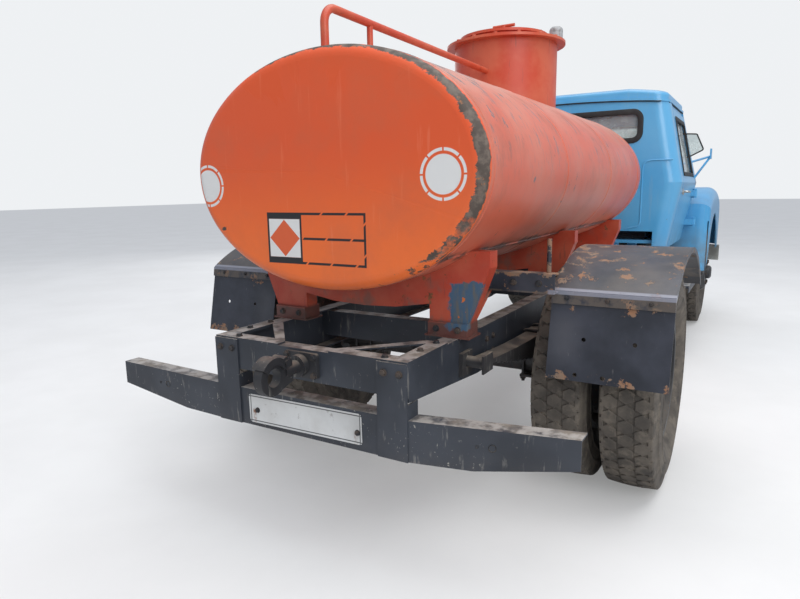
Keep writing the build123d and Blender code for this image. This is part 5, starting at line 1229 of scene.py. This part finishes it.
def four_sided(name, corners):
    """A plane on four corners that run round it, seen from its outer side."""
    sheet = start(name, "plane", size=1.0)
    for index, corner in zip((0, 1, 3, 2), corners):
        sheet.data.vertices[index].co = corner
    return sheet


def seal(name, corners, body, rounding, outside=0.013, inside=0.016, proud=0.006):
    """A rubber ring over the edge of a window's opening."""
    normal = (corners[1] - corners[0]).cross(corners[2] - corners[1]).normalized()
    ring = four_sided(name, [corner + normal * proud for corner in grown(corners, outside)])
    round_corners(ring, rounding, 7)
    with editing(ring):
        bpy.ops.mesh.select_all(action="SELECT")
        bpy.ops.mesh.inset(thickness=outside + inside)
        bpy.ops.mesh.delete(type="FACE")
    modify(ring, "SOLIDIFY", thickness=proud + 0.008, offset=-1.0)
    modify(ring, "BEVEL", width=0.0035, segments=2, limit_method="ANGLE")
    end_piece(ring, body, seal_rubber, smooth=50)


# %% Seals on the cab
rear_wall_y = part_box("cab_rear_wall")[1].y
cab_belt_z = 1.330
cab_gutter_z = 1.930
belt_half, gutter_half = 0.860, 0.739
cowl_face_y, roof_front_y = -1.640, -1.356


def between(z, low_value, high_value):
    """A value that changes evenly from the belt to the gutter."""
    return low_value + (high_value - low_value) * (z - cab_belt_z) / (cab_gutter_z - cab_belt_z)


def four_corners(half, low_z, high_z):
    """The corners of an upright oblong as (x, z), from its lower corner on the left."""
    return (half, low_z), (-half, low_z), (-half, high_z), (half, high_z)


rear_window = [Vector((x, rear_wall_y, z)) for x, z in four_corners(0.575, 1.6275, 1.8425)]
seal("rear_window_seal", rear_window, "chassis", 0.076, outside=0.014, inside=0.026)
front_window = [
    Vector((x, between(z, cowl_face_y, roof_front_y), z))
    for x, z in four_corners(-0.650, 1.425, 1.825)]
seal("windscreen_seal", front_window, "chassis", 0.10, outside=0.016, inside=0.020)
# Corners of a door's window as (y, z)
door_window = ((-1.314, 1.390), (-0.646, 1.390), (-0.646, 1.798), (-1.192, 1.798))
for side, word in both_sides:
    outline = [
        Vector((side * between(z, belt_half, gutter_half), y, z)) for y, z in door_window][::side]
    seal(f"door_window_seal_{word}", outline, f"door_{word}", 0.022)

# %% [markdown]
# ## The open vent pane
# In the right door the small front pane stands open. Its hinge leans with the front pillar, so
# the lower edge climbs as the pane swings out. The glass is a thin slab in a bent rod frame.

# %% Vent pane
vent_corners = [Vector(point) for point in (
    (-0.818, -1.258, 1.540), (-0.922, -1.236, 1.592),
    (-0.868, -1.210, 1.716), (-0.786, -1.206, 1.722))]
vent_glass = four_sided("vent_pane", vent_corners)
round_corners(vent_glass, 0.014, 4)
modify(vent_glass, "SOLIDIFY", thickness=0.005, offset=0.0)
end_piece(vent_glass, "door_right", window_glass)
vent_bars = []
for index, corner in enumerate(vent_corners):
    ahead, behind = vent_corners[(index + 1) % 4], vent_corners[index - 1]
    bend = [(corner + behind) / 2, corner, (corner + ahead) / 2]
    vent_bars.append(rod("vent_bar", bend, 0.0055, 0.25))
for end in (vent_corners[0], vent_corners[3]):
    vent_bars.append(rod("vent_pivot", [end, end + Vector((0.03, -0.004, -0.002))], 0.007))
end_piece(joined("vent_frame", vent_bars), "door_right", seal_rubber)

# %% [markdown]
# ## Small things on the cab
# Lever handles, wipers, and the pressed beads of the rear wall are bent rods: the beads are sunk
# to half their thickness, so that only a soft ridge stands out of the panel.

# %% Bare steel
steel_finish = Finish("worn_steel")
steel_cloud = steel_finish.noise(0.02, detail=6).step(0.45, 0.62)
worn_steel = steel_finish.surface(
    steel_finish.blend(steel_cloud, (0.52, 0.52, 0.50), (0.20, 0.17, 0.14)),
    0.28 + steel_cloud * 0.3, metallic=1.0 - steel_cloud * 0.7,
    normal=steel_finish.relief(steel_finish.noise(0.01), 0.2 * millimetre))

# %% Door handles
sill_half, sill_z = 0.770, 0.820
handle_y, handle_z = -0.640, 1.262
handle_x = sill_half + 0.090 * (handle_z - sill_z) / (cab_belt_z - sill_z)
for side, word in both_sides:
    plate = start("handle_plate", "cylinder", vertices=24, radius=0.024, depth=0.010)
    put(plate, aimed((side * (handle_x + 0.003), handle_y, handle_z), (side, 0, 0.16)))
    soften_end(plate, (side, 0, 0), 0.003, 2)
    lever = rod("lever", [
        (side * handle_x, handle_y, handle_z), (side * (handle_x + 0.040), handle_y, handle_z),
        (side * (handle_x + 0.036), handle_y - 0.130, handle_z - 0.004)], 0.0085, 0.45, 4)
    handle = joined(f"door_handle_{word}", [plate, lever])
    end_piece(handle, f"door_{word}", worn_steel)


# %% Wipers
def on_screen(x, z, off):
    """A point in front of the windscreen's plane, off it by a distance."""
    slope = (roof_front_y - cowl_face_y) / (cab_gutter_z - cab_belt_z)
    length = sqrt(1 + slope * slope)
    return (x, between(z, cowl_face_y, roof_front_y) - off / length, z + off * slope / length)


screen_normal = Vector(on_screen(0, 1.4, 1)) - Vector(on_screen(0, 1.4, 0))
pivot_z, blade_z = 1.408, 1.535
blade_reach, blade_rise = 0.105, 0.073
wiper_parts = []
for pivot_x, blade_x in ((0.46, 0.30), (-0.14, -0.30)):
    boss = start("boss", "cylinder", vertices=20, radius=0.014, depth=0.030)
    put(boss, aimed(on_screen(pivot_x, pivot_z, 0.010), screen_normal))
    soften_end(boss, (0, -1, 0), 0.004, 2)
    arm = [on_screen(pivot_x, pivot_z, 0.020), on_screen((pivot_x + blade_x) / 2, 1.47, 0.026),
           on_screen(blade_x, blade_z, 0.014)]
    blade = [on_screen(blade_x + end * blade_reach, blade_z + end * blade_rise, off)
             for end, off in ((-1, 0.006), (0, 0.007), (1, 0.006))]
    wiper_parts += [boss, rod("wiper_arm", arm, 0.0042), rod("wiper_blade", blade, 0.0055)]
end_piece(joined("wipers", wiper_parts), "chassis", seal_rubber)

# %% Beads and the gutter's painted shadow
bead_line = ((0.800, 1.490), (0.600, 1.490), (0.600, 1.020), (0.500, 0.995))
beads = []
for side in (1, -1):
    bead = [(side * x, rear_wall_y, z) for x, z in bead_line]
    beads.append(rod("bead", bead, 0.0055, 0.30, 4))
end_piece(joined("rear_wall_beads", beads), "chassis", cab_paint)

# Black rubber rods under the gutter lip are painted shade: they stand for the drip rail's shadow.
gutter_runs = (
    ((-0.700, -0.374), (0.700, -0.374)), ((0.742, -0.45), (0.742, -1.28)),
    ((0.700, -1.362), (-0.700, -1.362)), ((-0.742, -1.28), (-0.742, -0.45)))
roof_drop, roof_half = 0.042, 0.799
run_steps = 12
gutter_shadow_rods = []
for first, last in gutter_runs:
    points = []
    for step in range(run_steps + 1):
        x, y = Vector(first).lerp(Vector(last), step / run_steps)
        points.append((x, y, cab_gutter_z - roof_drop * (x / roof_half) ** 2 - 0.004))
    gutter_shadow_rods.append(rod("gutter_shadow_rod", points, 0.0045, 0.3, 2))
end_piece(joined("gutter_shadow_strip", gutter_shadow_rods), "chassis", seal_rubber)

# %% [markdown]
# ## Number plate
# The bumper carries a blank white plate, a little askew, with a rolled rim and dirt that has dried
# below its two bolts. It is pressed from a plane: rounded, inset for the rim, and thickened.


# %% Blank plate
def make_plate_white():
    """Dirty white with a thin black border and rusty drips below the bolts."""
    finish = Finish("plate_white")
    from_middle = finish.x - plate_middle.x
    worn = finish.noise(0.03, detail=7, roughness=0.7).step(0.60, 0.68)
    film = finish.noise(0.12, detail=5, shift=3.3).step(0.3, 0.8) * 0.35
    colour = finish.blend(film, (0.66, 0.66, 0.64), (0.36, 0.33, 0.29))
    drip = abs(abs(from_middle) - 0.235).step(0.012, 0.002) * finish.z.step(0.497, 0.485)
    drip = drip * finish.noise(0.02, detail=6).step(0.35, 0.6)
    colour = finish.blend(drip, colour, (0.27, 0.13, 0.07))
    colour = finish.blend(worn * 0.5, colour, (0.22, 0.19, 0.16))
    line = abs(from_middle).inside(plate_half - 0.010, plate_half - 0.006, 0.0006)
    level = abs(finish.z - plate_middle.z - from_middle * -plate_tilt)
    line = line | level.inside(plate_rise - 0.010, plate_rise - 0.006, 0.0006)
    colour = finish.blend(line * 0.85, colour, (0.02, 0.02, 0.022))
    dents = finish.relief(finish.noise(0.06), 0.6 * millimetre)
    return finish.surface(colour, 0.35 + film, normal=dents)


plate_middle = Vector((0.012, bumper_face_y + 0.0012, 0.4985))
plate_half, plate_rise = 0.260, 0.056
plate_tilt = 0.0175
plate_bolt_x, plate_bolt_z = 0.23, 0.490
tilted = Matrix.Rotation(plate_tilt, 4, "Y")
plate = four_sided("number_plate", [
    plate_middle + tilted @ Vector((x, 0, z))
    for x, z in four_corners(plate_half, -plate_rise, plate_rise)])
round_corners(plate, 0.012, 5)
with editing(plate):
    bpy.ops.mesh.select_all(action="SELECT")
    bpy.ops.mesh.inset(thickness=0.0045)
    bpy.ops.mesh.inset(thickness=0.0012, depth=-0.0010)
modify(plate, "SOLIDIFY", thickness=0.0012, offset=1.0)
end_piece(plate, "chassis", make_plate_white(), smooth=50)
plate_bolts = repeated("plate_bolt_heads", make_bolt(), [
    aimed((x, plate_middle.y + 0.0004, plate_bolt_z), (0, 1, 0), size=0.8)
    for x in (-plate_bolt_x, plate_bolt_x)])
end_piece(plate_bolts, "chassis", bolt_steel)

# %% [markdown]
# ## Holes in the bumper wings
# Each wing has one round hole with a smaller one beside it. A dark disc with a worn lip stands for
# each, its black a painted shade for the hole's depth: the imported bumper keeps its plain face,
# and nothing passes through these holes.

# %% Wing holes
wing_root_x = 0.430
hole_z = 0.510
# Distance of each hole from the truck's middle, and of its wing's tip sideways and along the truck
wings = ((1, 0.755, 1.050, 2.748), (-1, 0.700, 0.960, 2.662))
wing_holes = []
for side, hole_x, tip_x, tip_y in wings:
    wing_length, wing_sweep = tip_x - wing_root_x, bumper_face_y - tip_y
    y = bumper_face_y - wing_sweep * (hole_x - wing_root_x) / wing_length
    outward = Vector((side * wing_sweep, wing_length, 0)).normalized()
    along_wing = Vector((outward.y, -outward.x, 0))
    for offset, radius in ((0.0, 0.0125), (0.048, 0.005)):
        hole = start("hole", "cylinder", vertices=24, radius=radius, depth=0.003)
        spot = Vector((side * hole_x, y, hole_z)) + along_wing * offset
        put(hole, aimed(spot + outward * 0.0004, outward))
        with editing(hole) as shape:
            pick(hole, shape, shape.faces, lambda middle, normal: normal.dot(outward) > 0.9)
            bpy.ops.mesh.inset(thickness=radius * 0.2)
            bpy.ops.transform.translate(value=tuple(-outward * 0.0022))
        wing_holes.append(hole)
# The discs are painted shade: near black where the hole's depth would be in shadow, brown at the
# worn lip.
hole_shade_finish = Finish("hole_shade")
hole_cloud = hole_shade_finish.noise(0.01, detail=5).step(0.4, 0.6)
hole_painted_shade = hole_shade_finish.surface(
    hole_shade_finish.blend(hole_cloud, (0.012, 0.012, 0.013), (0.09, 0.075, 0.06)), 0.8)
end_piece(joined("wing_holes", wing_holes), "chassis", hole_painted_shade)

# %% [markdown]
# ## Seams, U-bolts and lamp rims
# Barrel plates meet in welds: thin rings pressed flat against the shell, and one lapped seam low
# on each side. U-bolts hold each spring to its axle. A chromed ring closes each headlamp.

# %% Welds on the barrel
weld_rows = (0.03, 0.86, 1.72, 2.56)
lap_turns = (-136, -44)
lap_points = (0.0, 0.9, 1.8, 2.54)
oval = Matrix.Diagonal((tank_half.x, 1, tank_half.z, 1)) @ Matrix.Rotation(radians(90), 4, "X")
weld_parts = []
for weld_y in weld_rows:
    weld = start("weld", "torus", major_segments=128, minor_segments=8, major_radius=1.0,
                 minor_radius=0.0045)
    weld.data.transform(Matrix.Translation((0, weld_y, tank_centre.z)) @ oval)
    weld_parts.append(weld)
for turn in lap_turns:
    x = tank_half.x * cos(radians(turn))
    z = tank_centre.z + tank_half.z * sin(radians(turn))
    weld_parts.append(rod("lap", [(x, y, z) for y in lap_points], 0.0035, 0.2))
end_piece(joined("barrel_welds", weld_parts), "chassis", tank_paint)

# %% U-bolts
# Middle x of each spring, half its width, axle y, top of the leaves, underside of the axle
springs = ((0.385, 0.0325, -2.090, 0.517, 0.377), (0.485, 0.038, 1.610, 0.638, 0.430))
u_bolt_radius, u_bolt_half_gap, u_bolt_room = 0.008, 0.064, 0.009
u_bolt_parts = []
nut_places = []
for side in (1, -1):
    for spring_x, half_leaf, axle_y, pack_top, axle_low in springs:
        low_plate = box_piece("low_plate", (side * spring_x, axle_y, axle_low - 0.006),
                              (2 * half_leaf + 0.044, 0.158, 0.012))
        with editing(low_plate):
            bpy.ops.mesh.select_all(action="SELECT")
            bpy.ops.mesh.bevel(offset=0.002, segments=2, affect="EDGES")
        u_bolt_parts.append(low_plate)
        inner = side * (spring_x - half_leaf - u_bolt_room)
        outer = side * (spring_x + half_leaf + u_bolt_room)
        foot, crown = axle_low - 0.034, pack_top + u_bolt_room
        for y in (axle_y - u_bolt_half_gap, axle_y + u_bolt_half_gap):
            bend = [(inner, y, foot), (inner, y, crown), (outer, y, crown), (outer, y, foot)]
            u_bolt_parts.append(rod("u_bolt", bend, u_bolt_radius, 0.18, 4))
            nut_places += [
                aimed((x, y, axle_low - 0.012), (0, 0, -1), size=1.25) for x in (inner, outer)]
u_nuts = repeated("u_nuts", make_bolt(), nut_places)
end_piece(joined("u_bolts", u_bolt_parts + [u_nuts]), "chassis", axle_paint)

# %% Lamp rims
lamp_low, lamp_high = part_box("headlamps")
lamp_radius = 0.106
rim_y, rim_z = lamp_low.y + 0.026, (lamp_low.z + lamp_high.z) / 2
rims = []
for side in (1, -1):
    lamp_middle = (side * (lamp_high.x - lamp_radius), rim_y, rim_z)
    rim = start("rim", "torus", major_segments=72, minor_segments=14, major_radius=0.100,
                minor_radius=0.0095)
    put(rim, aimed(lamp_middle, (0, -1, 0)))
    rims.append(rim)
end_piece(joined("lamp_rims", rims), "chassis", worn_steel)

# %% [markdown]
# ## Seat
# The bench is a padded cushion and a padded back on a steel plinth. A cushion is never a block:
# its cover is blown up by cloth pressure until the sides crown, and the sewn channels are then
# pressed into the front.


# %% A sewn cushion
def cushion(name, low, high, channel_axis, face_axis, face_sign):
    """A crowned pad between two corners, with channels sewn across its face."""
    low, high = Vector(low), Vector(high)
    middle, size = (low + high) / 2, high - low
    pad = box_piece(name, middle, [side - 0.016 for side in size])
    with editing(pad):
        bpy.ops.mesh.select_all(action="SELECT")
        bpy.ops.mesh.bevel(offset=0.040, segments=4, affect="EDGES")
    modify(pad, "REMESH", mode="VOXEL", voxel_size=0.013)
    before = [vertex.co.copy() for vertex in pad.data.vertices]
    choose(pad)
    cloth = pad.modifiers.new("cover", "CLOTH")
    cloth.settings.use_pressure = True
    cloth.settings.uniform_pressure_force = 4
    cloth.settings.effector_weights.gravity = 0
    for step in range(1, blow_up_frames + 1):
        scene.frame_set(step)
    bpy.ops.object.modifier_apply(modifier=cloth.name)
    scene.frame_set(1)
    for vertex, old in zip(pad.data.vertices, before):
        moved = vertex.co - old
        if moved.length > most_crown:
            vertex.co = old + moved.normalized() * most_crown
    modify(pad, "SUBSURF", levels=1, render_levels=1)
    pitch = size[channel_axis] / channel_pitches
    for vertex in pad.data.vertices:
        reach = (vertex.co[channel_axis] - low[channel_axis]) / pitch
        near = abs(reach - round(reach)) * pitch
        outer = (vertex.co[face_axis] - middle[face_axis]) * face_sign / (size[face_axis] / 2)
        if 0 < round(reach) < channel_pitches and near < channel_half and outer > 0.4:
            press = channel_depth * (1 - near / channel_half) * min(1, (outer - 0.4) * 3)
            vertex.co[face_axis] -= face_sign * press
        for axis in range(3):
            vertex.co[axis] = min(max(vertex.co[axis], low[axis] + 0.001), high[axis] - 0.001)
    end_piece(pad, "chassis", seat_vinyl, smooth=60)
    return pad


# %% Cushions on the bench
blow_up_frames = 20
most_crown = 0.012
channel_pitches = 11
channel_half, channel_depth = 0.012, 0.007
seat_low, seat_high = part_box("seat")
seat_floor = seat_low.z
bench = cushion("bench_cushion", (seat_low.x + 0.004, -0.988, seat_floor + 0.152),
                (seat_high.x - 0.004, -0.512, seat_floor + 0.278), 0, 2, 1)
cushion("bench_back", (seat_low.x + 0.004, -0.564, seat_floor + 0.284),
        (seat_high.x - 0.004, -0.447, seat_floor + 0.638), 0, 1, -1)
plinth = box_piece("bench_plinth", (0, -0.760, seat_floor + 0.0755), (1.236, 0.416, 0.149))
with editing(plinth) as shape:
    pick(plinth, shape, shape.faces, lambda middle, normal: abs(normal.z) < 0.5)
    bpy.ops.mesh.inset(thickness=0.022, use_individual=True)
    bpy.ops.mesh.inset(thickness=0.006, depth=-0.006, use_individual=True)
modify(plinth, "BEVEL", width=0.0025, segments=2, limit_method="ANGLE")
end_piece(plinth, "chassis", chassis_paint)
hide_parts("seat")
